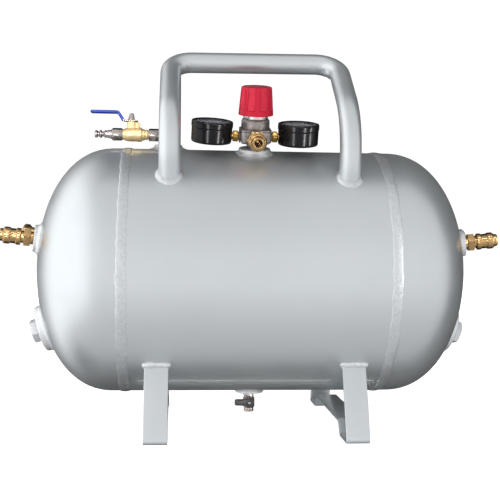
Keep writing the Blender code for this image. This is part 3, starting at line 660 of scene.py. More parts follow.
def build_bosses():
    boss("regulator_boss_skin", REGULATOR, 20.5, 6.3, 4.6, 1, nodes=["regulator_boss"])
    boss("valve_boss_skin", VALVE_BOSS, 18.6, 6.3, 9.4, 2, nodes=["valve_boss"])
    boss("drain_boss_skin", DRAIN, 18.5, 4.6, 3.4, 3, nodes=["drain_boss"])
    for side, word in SIDES:
        face = mount_frame(word + "_coupler_mouth")
        port = shifted(face, z=-49.4)
        boss(word + "_port_boss_skin", port, 17.3, 6.6, 5.0, 4 + side, nodes=[word + "_port_boss"])
        rear = head_frame(side, *REAR_PORT)
        boss(word + "_rear_boss_skin", rear, 12.0, 6.0, 3.2, 7 + side, nodes=[word + "_rear_boss"])
        low = head_frame(side, 0.0, -0.0775)
        boss(word + "_inspection_boss_skin", low, 30.5, 8.6, 6.4, 10 + side, 16.0,
             [word + "_inspection_boss"], edge=3.2)
        rim = 8.6
        plug = [(0, rim - 6), (15.6, rim - 6), (15.6, rim), (17.6, rim, 0.2), (17.6, rim + 1.6, 0.5),
                (13.4, rim + 1.7, 0.1)]
        plug += nut(13.9, rim + 1.7, rim + 11.2, 1.1)
        plug += [(9.0, rim + 11.2, 0.3), (8.4, rim + 10.8, 0.3), (0, rim + 10.8)]
        turned(word + "_inspection_plug_skin", plug, shifted(low, turn=0.3), WELD, "tank",
               [word + "_inspection_plug"])


build_bosses()


# ---- handle and feet ----------------------------------------------------
HANDLE_SLOPE = 2.8 * MM


def build_handle():
    low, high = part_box("handle")
    radius = 13.35
    middle = (low.x + high.x) / 2
    half = (high.x - low.x) / 2 - radius * MM
    bar_z = high.z - radius * MM
    foot = (-98.0 * MM, AXIS_Z + 100.0 * MM)
    knee = (-126.2 * MM, bar_z - 96.8 * MM)
    bar = (-10.4 * MM, bar_z)
    low_bar = (bar[0], bar_z - HANDLE_SLOPE)
    left = [(middle - half, *stop) for stop in (foot, knee, low_bar)]
    right = [(middle + half, *stop) for stop in (bar, knee, foot)]
    path = rounded_path(left + right, [62 * MM, 28 * MM, 31 * MM, 84 * MM], 26, 10)
    tube("handle_tube", path, radius, 10.75, PAINT, ["handle"], 64)
    for side, word, origin, ahead in ((-1, "left", path[0], path[1]), (1, "right", path[-1], path[-2])):
        along = aligned(origin, ahead - origin)
        ring = []
        outs = []
        axis = -(along.to_3x3() @ Vector((0, 0, 1)))
        for step in range(120):
            angle = TAU * step / 120
            outward = along.to_3x3() @ Vector((math.cos(angle), math.sin(angle), 0))
            start = origin + outward * (radius + 1.2) * MM - axis * 0.04
            point, normal, _, _ = SURFACE.ray_cast(start, axis)
            ring.append(point + normal * 0.0006)
            outs.append((normal * 0.72 + outward * 0.7).normalized())
        bead(word + "_handle_weld", ring, outs, 9.6, 1.7, SEAM_WELD,
             seed=20 + side, lump=0.42, pitch=4.0, sink=3.0)


def strap_section(width, thick, corner):
    """A rounded rectangle: (across, up) in mm."""
    made = []
    for x, y, start in ((1, 1, 0), (-1, 1, 90), (-1, -1, 180), (1, -1, 270)):
        for step in range(5):
            angle = math.radians(start + 90 * step / 4)
            made.append((x * (width / 2 - corner) + corner * math.cos(angle),
                         y * (thick / 2 - corner) + corner * math.sin(angle)))
    return made


STRAP_TOP_Y = 0.1065
STRAP_TOP_Z = AXIS_Z - 0.1000


def build_brackets():
    thick = 4.2
    for word in ("left", "right"):
        low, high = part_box(word + "_foot_bracket")
        x = (low.x + high.x) / 2
        width = (high.x - low.x) / MM
        base = low.z + thick / 2 * MM
        toe = 146.0 * MM - thick / 2 * MM
        stops = [(-STRAP_TOP_Y, STRAP_TOP_Z), (-toe, base), (-0.1002, base), (-0.0855, base + 0.0157)]
        stops = stops + [(-y, z) for y, z in stops[::-1]]
        radii = [2.9 * MM, 5 * MM, 5 * MM, 5 * MM, 5 * MM, 2.9 * MM]
        path = rounded_path([(x, y, z) for y, z in stops], radii, 8, 8)
        section = strap_section(width, thick, 0.9)
        rings = []
        for point, along, across in sweep_frames(path, side=Vector((1, 0, 0))):
            rings.append([point + (along * a + across * b) * MM for a, b in section])
        points, faces = skin(rings)
        piece(word + "_foot_strap", points, faces, PAINT, "tank",
              [word + "_foot_bracket"], sharp=50)
        for side in (-1, 1):
            lean = Vector((0, side * (toe - STRAP_TOP_Y), -STRAP_TOP_Z)).normalized()
            normal = Vector((0, -side * lean.z, side * lean.y)).normalized()
            for face, reach, tall, label in ((1, 35.0, 4.4, "outer"), (-1, 31.0, 3.4, "inner")):
                ring = []
                outs = []
                for step in range(46):
                    across = (step / 45 - 0.5) * reach * MM
                    start = Vector((x + across, side * STRAP_TOP_Y, STRAP_TOP_Z)) + lean * 0.03
                    start += normal * face * (thick / 2 + 1.0) * MM
                    point, out, _, _ = SURFACE.ray_cast(start, -lean)
                    if point is None:
                        continue
                    ring.append(point)
                    outs.append((out * 0.8 + normal * face * 0.5).normalized())
                if len(ring) > 10:
                    name = f"{word}_{'front' if side < 0 else 'rear'}_{label}_weld"
                    bead(name, ring, outs, 7.4, tall * 0.72, WELD,
                         seed=30 + side * 2 + face, closed=False, lump=0.42, pitch=7.0, sink=2.5, taper=11)


build_handle()
build_brackets()


# ---- quick couplers -----------------------------------------------------
KNURL_RIDGES = 34
KNURL_DEPTH = 0.16


def knurl(tag, angle, radius, height):
    return radius - KNURL_DEPTH * abs(math.sin(angle * KNURL_RIDGES / 2)) ** 1.6


def build_coupler(word, face, length, turn, sleeve_r, bevel):
    """A brass coupler in its CAD frame: body, mouth, seal and sliding sleeve."""
    base = shifted(face, z=-length, turn=turn)
    body = [(3.2, 0.2), (8.2, 0.2, 0.3), (8.2, 4.0, 0.3)] + nut(10.8, 4.2, 12.4, 1.1)
    body += [(7.7, 12.6, 0.2), (7.7, length - 5.6, 0.1), (8.1, length - 4.8, 0.3), (8.1, length - 1.6, 0.8),
             (7.2, length, 0.5), (5.2, length, 0.4), (4.5, length - 1.0, 0.3), (4.5, length - 9.0, 0.1),
             (5.2, length - 9.4, 0.1), (5.2, length - 12.4, 0.1), (4.5, length - 12.8, 0.1),
             (4.5, length - 19, 0.1), (3.2, length - 19, 0.1)]
    turned(word + "_coupler_core", body, base, BRASS, "tank", [word + "_coupler_body"], 96)
    seal = [(4.15 + 0.8 * math.cos(TAU * k / 12), length - 10.9 + 1.2 * math.sin(TAU * k / 12), 0)
            for k in range(12)]
    turned(word + "_coupler_seal", seal, base, RUBBER, "tank", (), 48)
    poppet = [(0, length - 18.6), (3.4, length - 18.6, 0.2), (3.4, length - 16.4, 0.3),
              (1.8, length - 15.4, 0.4), (0, length - 15.2)]
    turned(word + "_coupler_poppet", poppet, base, BRASS, "tank", (), 32)
    low = 15.8
    high = length - 5.0
    waist = sleeve_r - 1.2
    span = high - low
    rim = high - 0.6 - bevel
    sleeve = [(8.45, low, 0.2), (sleeve_r - 0.9, low, 0.4), (sleeve_r, low + 0.9, 0.3, "knurl"),
              (sleeve_r, low + 0.14 * span, 0, "knurl"), (sleeve_r, low + 0.24 * span, 0.3, "knurl"),
              (waist, low + 0.28 * span, 0.4), (waist, low + 0.60 * span, 0.4),
              (sleeve_r, low + 0.64 * span, 0.3, "knurl"), (sleeve_r, rim - 0.3, 0, "knurl"),
              (sleeve_r - 0.15, rim, 0.2), (sleeve_r - 0.2 - 0.85 * bevel, high, 0.5), (8.45, high, 0.2)]
    turned(word + "_coupler_grip", sleeve, base, BRASS, word + "_sleeve",
           [word + "_coupler_sleeve"], 204, knurl, 30)


def build_couplers():
    for word in ("left", "right"):
        build_coupler(word, mount_frame(word + "_coupler_mouth"), 42.8, math.pi / 6, 10.8, 1.3)
    build_coupler("outlet", mount_frame("outlet_coupler_mouth", (1, 0, 0)), 35.2, math.pi / 6, 11.6, 2.4)


build_couplers()


# ---- regulator ----------------------------------------------------------
def rounded_block(half_x, half_y, corner, z):
    """A rounded rectangle in mm at a height."""
    made = []
    steps = 8
    for sx, sy, start in ((1, 1, 0), (-1, 1, 90), (-1, -1, 180), (1, -1, 270)):
        for step in range(steps + 1):
            angle = math.radians(start + 90 * step / steps)
            made.append(Vector((sx * (half_x - corner) + corner * math.cos(angle),
                                sy * (half_y - corner) + corner * math.sin(angle), z)) * MM)
    return made


PORTS_Z = 21.4


def build_regulator():
    width, depth, low, high = 40.3, 36.0, 13.6, 31.6
    rings = []
    for inset, corner, z in ((3.4, 4.0, low), (3.0, 4.3, low + 0.1), (0.5, 5.6, low + 2.6),
                             (0.1, 6.0, low + 3.4), (0.0, 6.0, low + 4.4), (0.0, 6.0, high - 3.2),
                             (0.15, 6.0, high - 2.9), (0.9, 5.4, high - 2.6), (0.9, 5.4, high - 2.2),
                             (0.2, 6.0, high - 1.9), (0.0, 6.0, high - 1.6), (0.0, 6.0, high - 0.7),
                             (0.2, 5.8, high - 0.2), (0.7, 5.4, high)):
        rings.append(rounded_block(width / 2 - inset, depth / 2 - inset, corner, z))
    points, faces = skin(rings)
    piece("regulator_block", points, faces, DIE_CAST, "tank", ["regulator_body"], REGULATOR, sharp=42)
    neck = [(4.0, 8.4, 0.2), (10.2, 8.4, 0.6), (10.6, 10.0, 0.4), (11.2, low + 0.6, 0.4),
            (4.0, low + 0.6, 0)]
    turned("regulator_inlet_neck", neck, REGULATOR, DIE_CAST, "tank")
    nipple = [(4.0, 5.0, 0), (6.4, 5.0, 0), (6.4, 8.8, 0), (4.0, 8.8, 0)]
    turned("regulator_nipple_skin", nipple, REGULATOR, STEEL, "tank", ["regulator_nipple"])
    for side, word in SIDES:
        pad = aligned(REGULATOR @ Vector((side * 19.6 * MM, 0, PORTS_Z * MM)),
                      REGULATOR.to_3x3() @ Vector((side, 0, 0)))
        turned(word + "_port_pad", [(4.0, 0, 0), (8.4, 0, 0), (7.9, 1.1, 0.4), (4.0, 1.1, 0.2)], pad,
               DIE_CAST, "tank")
    front = aligned(REGULATOR @ Vector((0, -17.4 * MM, PORTS_Z * MM)),
                    REGULATOR.to_3x3() @ Vector((0, -1, 0)))
    turned("outlet_port_pad", [(4.0, 0, 0), (9.8, 0, 0), (9.2, 1.0, 0.4), (4.0, 1.0, 0.2)], front, DIE_CAST,
           "tank")

    seat = high + 0.25
    top = 44.8
    bonnet = [(13.0, seat, 0.1), (17.5, seat, 0.2), (17.5, seat + 0.9, 0.2), (18.2, seat + 1.4, 0.2),
              (18.0, top - 2.6, 0.5), (16.2, top, 0.4), (11.0, top, 0.3), (11.0, 48.8, 0.2),
              (4.6, 48.8, 0.2), (4.6, top - 2, 0), (13.0, top - 3, 0)]
    turned("regulator_bonnet_skin", bonnet, REGULATOR, DIE_CAST, "tank", ["regulator_bonnet"], 120)
    ring = [(11.2, top + 0.1, 0.1), (15.7, top + 0.1, 0.2), (15.7, top + 4.3, 0.5), (11.2, top + 4.3, 0.2)]
    turned("regulator_collar", ring, REGULATOR, BRIGHT, "tank", ["regulator_panel_nut"], 96)
    build_knob()


KNOB_PANELS = 8
KNOB_LOW, KNOB_HIGH = 49.4, 85.7


def from_panel(angle):
    """The angle to the middle of the nearest panel."""
    pitch = TAU / KNOB_PANELS
    return abs((angle + math.pi / 2) % pitch - pitch / 2)


def panel_share(angle, height):
    """1 inside a knob's recessed panel and 0 on its ribs."""
    off = from_panel(angle)
    edge = math.radians(12.75)
    sideways = min(1.0, max(0.0, (edge - off) / math.radians(1.6) + 0.5))
    upward = min(1.0, max(0.0, (height - KNOB_LOW - 6.8) / 0.5))
    return sideways * upward


# Marks where the knob's panel edges get painted shade.
def panel_edge_share(angle, height):
    """1 along the edges of a knob's panels and 0 elsewhere."""
    off = from_panel(angle)
    inside = off < math.radians(14.0) and height > KNOB_LOW + 6.4
    at_side = inside and off > math.radians(12.8)
    at_foot = inside and height < KNOB_LOW + 7.0
    return 1.0 if at_side or at_foot else 0.0


def build_knob():
    panel_depth = 1.15

    def shape(tag, angle, radius, height):
        fine = 0.05 * math.sin(angle * 150)
        return radius - panel_share(angle, height) * (panel_depth + fine)

    def radius_at(height):
        return 22.3 + (19.4 - 22.3) * (height - KNOB_LOW) / (KNOB_HIGH - KNOB_LOW)

    outline = [(0, 62.0), (6.5, 62.0), (6.5, 78.0), (16.2, 78.0), (18.2, KNOB_LOW, 0.3),
               (22.2, KNOB_LOW, 0.5)]
    rises = (1.0, 3.0, 5.2, 6.2, 6.6, 6.8, 7.05, 7.3, 7.6, 9, 14, 19, 24, 29, 32.4)
    heights = [KNOB_LOW + rise for rise in rises]
    outline += [(radius_at(h), h, 0, "wall") for h in heights]
    outline += [(radius_at(83.9) - 0.15, 84.0, 0, "wall"), (radius_at(84.6) - 0.6, 84.7, 0, "wall"),
                (radius_at(85) - 1.5, 85.1, 0, "wall"), (17.0, 85.15, 0.3), (16.6, 84.7, 0.3),
                (14.0, 84.9, 0.2), (13.6, 85.4, 0.2), (0, KNOB_HIGH)]

    def on_wall(share):
        """Limits a share to the outer wall of the knob."""
        def limited(angle, radius, height):
            return share(angle, height) if radius > 17.5 and height < 84.8 else 0.0
        return limited

    masks = {
        "panel": on_wall(panel_share),
        # Painted shade along the panel edges.
        "groove": on_wall(panel_edge_share),
        # Painted shade on the top disc.
        "crown": lambda angle, radius, height: 1.0 if height > 84.5 and radius < 17.3 else 0.0,
    }
    turned("regulator_knob_cap", outline, REGULATOR, RED, "regulator_knob",
           ["regulator_knob"], 320, shape, 32, masks)


# ---- gauges -------------------------------------------------------------
def scale_marks(name, at):
    """The dial's ticks and numbers."""
    points = []
    faces = []

    def bar(angle, low, high, width):
        ray = Vector((math.cos(angle), math.sin(angle), 0))
        side = Vector((-ray.y, ray.x, 0)) * width / 2
        start = len(points)
        for z in (0.0, 0.08):
            for reach, sign in ((low, -1), (high, -1), (high, 1), (low, 1)):
                points.append((ray * reach + side * sign + Vector((0, 0, z))) * MM)
        quad = [start, start + 1, start + 2, start + 3]
        faces.append(tuple(quad[::-1]))
        faces.append(tuple(k + 4 for k in quad))
        for k in range(4):
            faces.append((start + k, start + (k + 1) % 4, start + 4 + (k + 1) % 4, start + 4 + k))

    for step in range(41):
        angle = math.radians(225 - 270 * step / 40)
        major = step % 10 == 0
        low = 16.0 if major else (17.2 if step % 5 == 0 else 18.2)
        bar(angle, low, 19.8, 0.75 if major else 0.35)
    for step in range(90):
        angle = math.radians(225 - 270 * (step + 0.5) / 90)
        bar(angle, 19.8, 20.1, 20.0 * math.radians(3.05))
    for index in range(5):
        angle = math.radians(225 - 270 * index / 4)
        text = bpy.data.curves.new("number", "FONT")
        text.body = str(index * 50)
        text.size = 4.6 * MM
        text.align_x = "CENTER"
        text.align_y = "CENTER"
        text.extrude = 0.04 * MM
        holder = bpy.data.objects.new("number", text)
        bpy.context.collection.objects.link(holder)
        bpy.context.view_layer.update()
        mesh = bpy.data.meshes.new_from_object(holder.evaluated_get(bpy.context.evaluated_depsgraph_get()))
        bpy.data.objects.remove(holder)
        start = len(points)
        offset = Vector((math.cos(angle), math.sin(angle), 0)) * 12.6 * MM + Vector((0, 0, 0.04 * MM))
        points.extend(v.co + offset for v in mesh.vertices)
        faces.extend(tuple(start + k for k in face.vertices) for face in mesh.polygons)
        bpy.data.meshes.remove(mesh)
    return piece(name, points, faces, INK, "tank", (), at)


def build_gauge(side, word):
    joint = JOINTS[word + "_needle_sweep"]
    needle_at = aligned(joint["pos_m"], joint["axis"], (1, 0, 0))
    half = 13.25
    split = half - 8.1
    at = shifted(needle_at, z=-(split + 1.5))
    r = 26.0
    deep = -half - 1.5
    case = [(0, deep, 0), (r - 3.4, deep, 0.6), (r - 0.9, deep + 0.7, 1.2), (r - 0.1, deep + 3.0, 0.8),
            (r, split - 1.0, 0.3), (r - 0.5, split, 0.2), (r - 2.0, split, 0.1), (r - 2.0, deep + 2.6, 0),
            (0, deep + 2.6, 0)]
    turned(word + "_gauge_shell", case, at, BLACK, "tank", [word + "_gauge_case"], 120)
    bezel = [(r - 3.0, split + 0.1, 0.1), (r + 0.2, split + 0.1, 0.3), (r + 0.6, split + 0.7, 0.3),
             (r + 0.6, half - 1.6, 0.6), (r - 0.1, half - 0.3, 0.5), (r - 1.4, half, 0.5),
             (r - 2.4, half - 0.7, 0.4), (r - 2.8, half - 1.7, 0.2), (r - 3.0, half - 1.7, 0)]
    turned(word + "_gauge_rim", bezel, at, BLACK, "tank", [word + "_gauge_bezel"], 120)
    glass = [(0, half - 3.4, 0), (r - 3.2, half - 3.4, 0.1), (r - 3.2, half - 1.75, 0.2),
             (0, half - 1.6, 0)]
    pane = turned(word + "_gauge_glass", glass, at, GLASS, "tank", [word + "_gauge_lens"], 96)
    pane.visible_shadow = False
    face = [(0, split - 1.0, 0), (r - 2.4, split - 1.0, 0.1), (r - 2.4, split, 0.2), (20.9, split, 0.1),
            (20.7, split - 0.15, 0.1), (20.5, split, 0.1), (0, split, 0)]
    turned(word + "_gauge_face", face, at, DIAL, "tank", [word + "_gauge_dial"], 96)
    scale_marks(word + "_gauge_scale", shifted(at, z=split + 0.02))
    hub = [(0, -0.9, 0), (2.6, -0.9, 0.2), (2.6, 0.5, 0.4), (0, 0.8, 0)]
    turned(word + "_needle_hub", hub, needle_at, BLACK_PLASTIC, word + "_needle", (), 32)
    rings = []
    for x, wide in ((-6.0, 1.5), (-5.4, 1.7), (-2.5, 1.0), (0.0, 1.3), (6.0, 0.85), (12.0, 0.5),
                    (16.6, 0.16)):
        section = ((-wide, -0.2), (wide, -0.2), (wide, 0.2), (-wide, 0.2))
        rings.append([Vector((x, y, z)) * MM for y, z in section])
    points, faces = skin(rings)
    piece(word + "_needle_blade", points, faces, INK, word + "_needle",
          [word + "_gauge_needle"], shifted(needle_at, turn=math.radians(225)))
    reach = 9.65
    port = aligned(REGULATOR @ Vector((side * 20.15 * MM, 0, PORTS_Z * MM)),
                   at.to_3x3() @ Vector((side, 0, 0)), at.to_3x3() @ Vector((0, 0, 1)))
    stem = [(2.2, 0.4, 0), (5.0, 0.4, 0.2), (5.0, 1.6, 0.2), (5.4, 1.8, 0.1)]
    stem += nut(6.5, 1.8, reach - 1.2, 0.7)
    stem += [(4.6, reach - 1.0, 0.2), (4.6, reach + 0.6, 0), (2.2, reach + 0.6, 0)]
    # The stem takes the darker brass: painted shade under the gauge.
    turned(word + "_gauge_neck", stem, port, SHADED_BRASS, "tank", [word + "_gauge_stem"])


build_regulator()
build_gauge(-1, "left")
build_gauge(1, "right")


# ---- ball valve ---------------------------------------------------------
def build_ball_valve():
    drop = (PIPE.translation.z - (AXIS_Z + TANK_R)) - 5.6 * MM
    origin = PIPE.translation
    stops = [origin - Vector((0, 0, drop)), origin, origin - Vector((10.6 * MM, 0, 0))]
    path = rounded_path(stops, [8.6 * MM], 14, 5)
    tube("valve_elbow_skin", path, 8.2, 4.6, STEEL, ["valve_elbow"], 48)
    for name, at in (("valve_elbow_band", shifted(VALVE_BOSS, z=6.4)),
                     ("valve_elbow_lip", shifted(PIPE, z=8.0))):
        band = [(8.0, 0, 0.2), (9.2, 0, 0.5), (9.2, 3.0, 0.8), (8.0, 3.6, 0.2)]
        turned(name, band, at, STEEL, "tank")
    union = [(4.6, 12.2, 0)] + nut(7.45, 12.2, 26.0, 0.8) + [(4.6, 26.0, 0)]
    hex_at = shifted(PIPE, turn=math.pi / 6 + 0.12)
    turned("valve_union_hex", union, hex_at, STEEL, "tank", ["valve_union_nut"])
    body = [(4.6, 26.2, 0.1), (5.9, 26.2, 0.2), (5.9, 27.4, 0.2), (7.0, 27.8, 0.3), (7.0, 29.4, 0.3),
            (6.3, 29.9, 0.3), (6.3, 31.2, 0.3), (7.5, 31.8, 0.4), (7.6, 34.4, 0.4), (8.9, 35.2, 0.4),
            (9.5, 36.0, 0.4), (9.5, 40.6, 0.5), (9.0, 41.4, 0.4), (9.0, 43.0, 0.8), (9.15, 47.0, 3.0),
            (9.1, 52.0, 3.0), (8.4, 56.0, 3.0), (7.3, 59.0, 1.0), (6.9, 60.3, 0.3), (6.4, 60.3, 0.1),
            (6.4, 57.0, 0), (7.2, 56.6, 0), (7.2, 41.2, 0), (4.6, 41.2, 0)]
    turned("ball_valve_shell", body, PIPE, CAST_BRASS, "tank", ["ball_valve_body"], 96)
    mark = aligned(PIPE @ Vector((0, 8.7 * MM, 49.5 * MM)), (0, -1, 0), (1, 0, 0))
    turned("ball_valve_cast_ring", [(2.5, -0.6, 0), (3.3, -0.6, 0), (3.25, 0.35, 0.2), (2.55, 0.35, 0.2)],
           mark, CAST_BRASS, "tank", (), 48)
    gland = [(2.7, 7.6, 0), (6.6, 7.6, 0), (6.3, 9.4, 1.0), (6.1, 12.0, 0.4), (6.0, 16.8, 0.4),
             (2.7, 16.8, 0.2)]
    turned("ball_valve_gland", gland, SWING, CAST_BRASS, "tank")
    profile = [(5.2, 8.0), (9.0, 7.6), (10.2, 9.4), (11.4, 11.6), (11.5, 13.8), (10.2, 15.2), (8.0, 16.6),
               (6.6, 16.6), (5.2, 16.0)]
    rings = []
    for y, inset in ((-2.6, 0.4), (-2.2, 0.0), (2.2, 0.0), (2.6, 0.4)):
        rings.append([Vector((x - inset if x > 7 else x, y, z - inset)) * MM for x, z in profile])
    points, faces = skin(rings)
    piece("ball_valve_stop", points, faces, CAST_BRASS, "tank", (), SWING, sharp=50)

    plug = [(2.6, 57.6, 0), (6.2, 57.6, 0), (6.2, 60.6, 0.1)] + nut(7.4, 60.7, 74.2, 0.9)
    plug += [(6.1, 74.4, 0.2), (6.1, 76.0, 0.3), (5.3, 77.0, 0.4), (5.3, 79.2, 0.3), (4.7, 80.0, 0.4),
             (4.7, 82.6, 0.3), (5.2, 83.2, 0.3), (4.0, 84.6, 0.5), (3.3, 85.4, 0.5), (3.3, 87.0, 0.4),
             (5.3, 88.2, 0.3), (5.3, 89.6, 0.3), (3.5, 91.2, 0.6), (3.5, 92.8, 0.5), (4.9, 94.0, 0.3),
             (4.9, 95.6, 0.3), (4.3, 96.8, 0.4), (2.6, 96.8, 0.2)]
    turned("hose_plug_nose", plug, hex_at, STEEL, "tank", ["hose_plug"])
    build_lever()


def build_lever():
    seat = 18.1
    grip_z = 29.3
    stops = [(8.4, seat), (-10.6, seat), (-17.6, grip_z), (-51.6, grip_z)]
    path = rounded_path([Vector((x, 0, z)) * MM for x, z in stops], [3 * MM, 4 * MM], 8, 6)
    strap = strap_section(9.6, 1.7, 0.5)
    rings = []
    for point, along, across in sweep_frames(path, side=Vector((0, 1, 0))):
        rings.append([point + (along * a + across * b) * MM for a, b in strap])
    points, faces = skin(rings)
    piece("ball_valve_lever_strap", points, faces, ZINC, "valve_lever",
          ["ball_valve_lever"], SWING, sharp=50)
    frames = [f for f in sweep_frames(path, side=Vector((0, 1, 0))) if f[0].x < -11.2 * MM]
    last, along, across = frames[-1]
    first, side, up = frames[0]
    rings = [[first + (side * a * 0.86 + up * b * 0.7) * MM for a, b in strap_section(12.2, 3.6, 1.4)]]
    section = strap_section(12.2, 3.7, 1.4)
    for point, side, up in frames:
        rings.append([point + (side * a + up * b) * MM for a, b in section])
    for push, wide, tall in ((0.7, 0.97, 0.96), (1.4, 0.88, 0.80), (2.0, 0.74, 0.5), (2.3, 0.6, 0.2)):
        tip = last + Vector((-push * MM, 0, 0))
        rings.append([tip + (along * a * wide + across * b * tall) * MM for a, b in section])
    points, faces = skin(rings)
    piece("ball_valve_vinyl_grip", points, faces, BLUE, "valve_lever",
          ["ball_valve_grip"], SWING, sharp=60)
    low = seat + 0.9
    washer = [(2.3, low, 0.1), (5.0, low, 0.2), (5.0, low + 0.9, 0.3), (2.3, low + 0.9, 0.1)]
    turned("ball_valve_washer", washer, SWING, ZINC, "valve_lever")
    cap = [(0, low + 0.9, 0)] + [(4.0, low + 0.9, 0.1, 3.7), (4.3, low + 1.8, 0.1, 3.7),
                                 (4.3, low + 4.2, 0.1, 3.6), (3.7, low + 5.4, 0.3, 3.5)]
    cap += [(3.2, low + 5.6, 0.3), (2.9, low + 8.6, 0.5), (0, low + 8.9, 0)]
    turned("ball_valve_cap_nut", cap, shifted(SWING, turn=0.25), ZINC, "valve_lever",
           ["ball_valve_lever_nut"], 48)


build_ball_valve()


# ---- drain cock ---------------------------------------------------------
def build_drain():
    h = 4.6
    body = [(2.3, h + 0.1, 0), (6.9, h + 0.1, 0.2)] + nut(6.9, h + 0.3, h + 5.0, 0.5)
    body += [(6.4, h + 5.2, 0.2), (6.4, h + 6.4, 0.3), (7.65, h + 7.4, 0.5), (7.65, 23.8, 0.6),
             (6.3, 24.9, 0.4), (6.1, 27.0, 0.2), (6.5, 27.4, 0.2), (6.5, 28.6, 0.2), (6.1, 29.0, 0.2),
             (6.1, 30.3, 0.4), (2.3, 30.3, 0.2)]
    turned("drain_cock_barrel", body, DRAIN, STEEL, "tank", ["drain_cock_body"], 72)
    hub = [(0, -9.6, 0), (3.4, -9.6, 0.4), (3.4, 7.6, 0.2), (0, 7.6, 0)]
    turned("drain_cock_stem", hub, DRAIN_SWING, BRASS, "drain_lever", ["drain_cock_core"], 36)
    outline = [(-19.8, 0.6), (-19.1, 4.0), (-17.8, 4.6), (-11.0, 4.6), (-5.4, 5.2), (-2.6, 6.2), (0.6, 6.7),
               (3.8, 6.1), (6.0, 3.8), (6.6, 0.2), (6.2, -3.6), (4.2, -6.2), (1.0, -6.9), (-2.2, -6.5),
               (-5.2, -4.6), (-11.0, -3.7), (-18.0, -3.5), (-19.3, -2.4)]
    centre = Vector((-4.0, 0.2))
    rings = []
    for z, scale in ((7.8, 0.90), (8.2, 0.98), (8.8, 1.0), (11.4, 1.0), (12.2, 0.97), (12.6, 0.88)):
        rings.append([Vector((centre.x + (x - centre.x) * scale, centre.y + (y - centre.y) * scale, z)) * MM
                      for x, y in outline])
    points, faces = skin(rings)
    piece("drain_cock_handle", points, faces, BLACK_PLASTIC, "drain_lever",
          ["drain_cock_lever"], DRAIN_SWING, sharp=48)
    screw = [(0, 12.3, 0), (1.6, 12.3, 0.1), (1.6, 13.2, 0.5), (0, 13.6, 0)]
    turned("drain_cock_screw", screw, DRAIN_SWING, ZINC, "drain_lever", (), 32)


build_drain()


# ---- rear ports ---------------------------------------------------------
def build_rear_ports():
    tip = 39.8
    for side, word in SIDES:
        at = head_frame(side, *REAR_PORT)
        low = 6.2
        cap = 26.0
        name, node = (("relief_valve_barrel", "relief_valve_body") if side < 0
                      else ("right_rear_plug_skin", "right_rear_plug"))
        body = [(5.4, 0.5, 0), (6.2, 0.5, 0), (6.2, low, 0)] + nut(8.6, low, low + 7.0, 0.8)
        body += [(7.2, low + 7.2, 0.2), (7.6, low + 9.0, 0.3), (7.6, cap - 1.0, 0.3), (9.0, cap - 0.4, 0.3)]
        body += nut(9.3, cap, cap + 8.4, 0.9)
        if side < 0:
            body += [(6.4, cap + 8.6, 0.2), (5.2, 36.4, 0.5), (2.2, 36.4, 0.2), (2.2, 0.5, 0)]
        else:
            body += [(7.0, cap + 8.6, 0.2), (6.6, 36.0, 0.6), (0, 36.4, 0)]
            body = [(0, 0.5, 0)] + body[1:]
        turned(name, body, at, BRASS, "tank", [node], 72)
        if side < 0:
            pin = [(0, 21.0, 0), (1.6, 21.0, 0), (1.6, tip - 0.4, 0.3), (0, tip, 0)]
            turned("relief_valve_pin", pin, at, STEEL, "relief_ring", (), 24)
            loop = [Vector((7.0 * math.cos(TAU * k / 72), 0.5 - 7.0 + 7.0 * math.sin(TAU * k / 72),
                            tip - 1.2)) * MM
                    for k in range(72)]
            rings = []
            for point, along, across in sweep_frames(loop, closed=True, side=Vector((0, 0, 1))):
                rings.append(ring_about(point, along, across, MM, 14))
            points, faces = skin(rings, closed_path=True)
            piece("relief_valve_loop", points, faces, STEEL, "relief_ring",
                  ["relief_valve_ring"], at)


build_rear_ports()


# ---- CAD nodes that stay ------------------------------------------------
for node, (look, _) in (("regulator_diaphragm", RUBBER), ("regulator_spring", STEEL),
                        ("regulator_screw", STEEL),
                   ("ball_valve_ball", BRIGHT), ("ball_valve_stem", STEEL)):
    kept = frame["nodes"][node]
    kept.data.materials.clear()
    kept.data.materials.append(look)


# ---- studio -------------------------------------------------------------
def stage_mesh(name, points, faces, look):
    """A mesh of the studio, not of the object."""
    mesh = bpy.data.meshes.new(name)
    mesh.from_pydata(points, [], faces)
    mesh.materials.append(look)
    made = bpy.data.objects.new(name, mesh)
    bpy.context.collection.objects.link(made)
    return made


def build_floor():
    """A pale floor that brightens into the backdrop away from the object."""
    look = Look("studio_floor", (0.90, 0.90, 0.90), 0.9)
    look.tint(spread(look.noise(3, 2), look), (0.89, 0.89, 0.895), 0.6)
    length = look.nodes.new("ShaderNodeVectorMath")
    length.operation = "LENGTH"
    look.links.new(look.place, length.inputs[0])
    glow = look.ramp(length.outputs["Value"], 0.80, 1.05, 0.5, 1.6)
    look.shader.inputs["Emission Color"].default_value = (1, 1, 1, 1)
    look.links.new(glow, look.shader.inputs["Emission Strength"])
    size = 40.0
    corners = [(-size, -size, 0), (size, -size, 0), (size, size, 0), (-size, size, 0)]
    floor = stage_mesh("studio_floor", corners, [(0, 1, 2, 3)], look.made)
    floor.location.z = -0.0003
    floor.visible_glossy = False
    floor.visible_diffuse = False


def glow_look(name, strength):
    """A material that only shines, and its Emission node."""
    made = bpy.data.materials.new(name)
    made.use_nodes = True
    nodes = made.node_tree.nodes
    nodes.clear()
    glow = nodes.new("ShaderNodeEmission")
    glow.inputs["Strength"].default_value = strength
    out = nodes.new("ShaderNodeOutputMaterial")
    made.node_tree.links.new(glow.outputs[0], out.inputs["Surface"])
    return made, glow


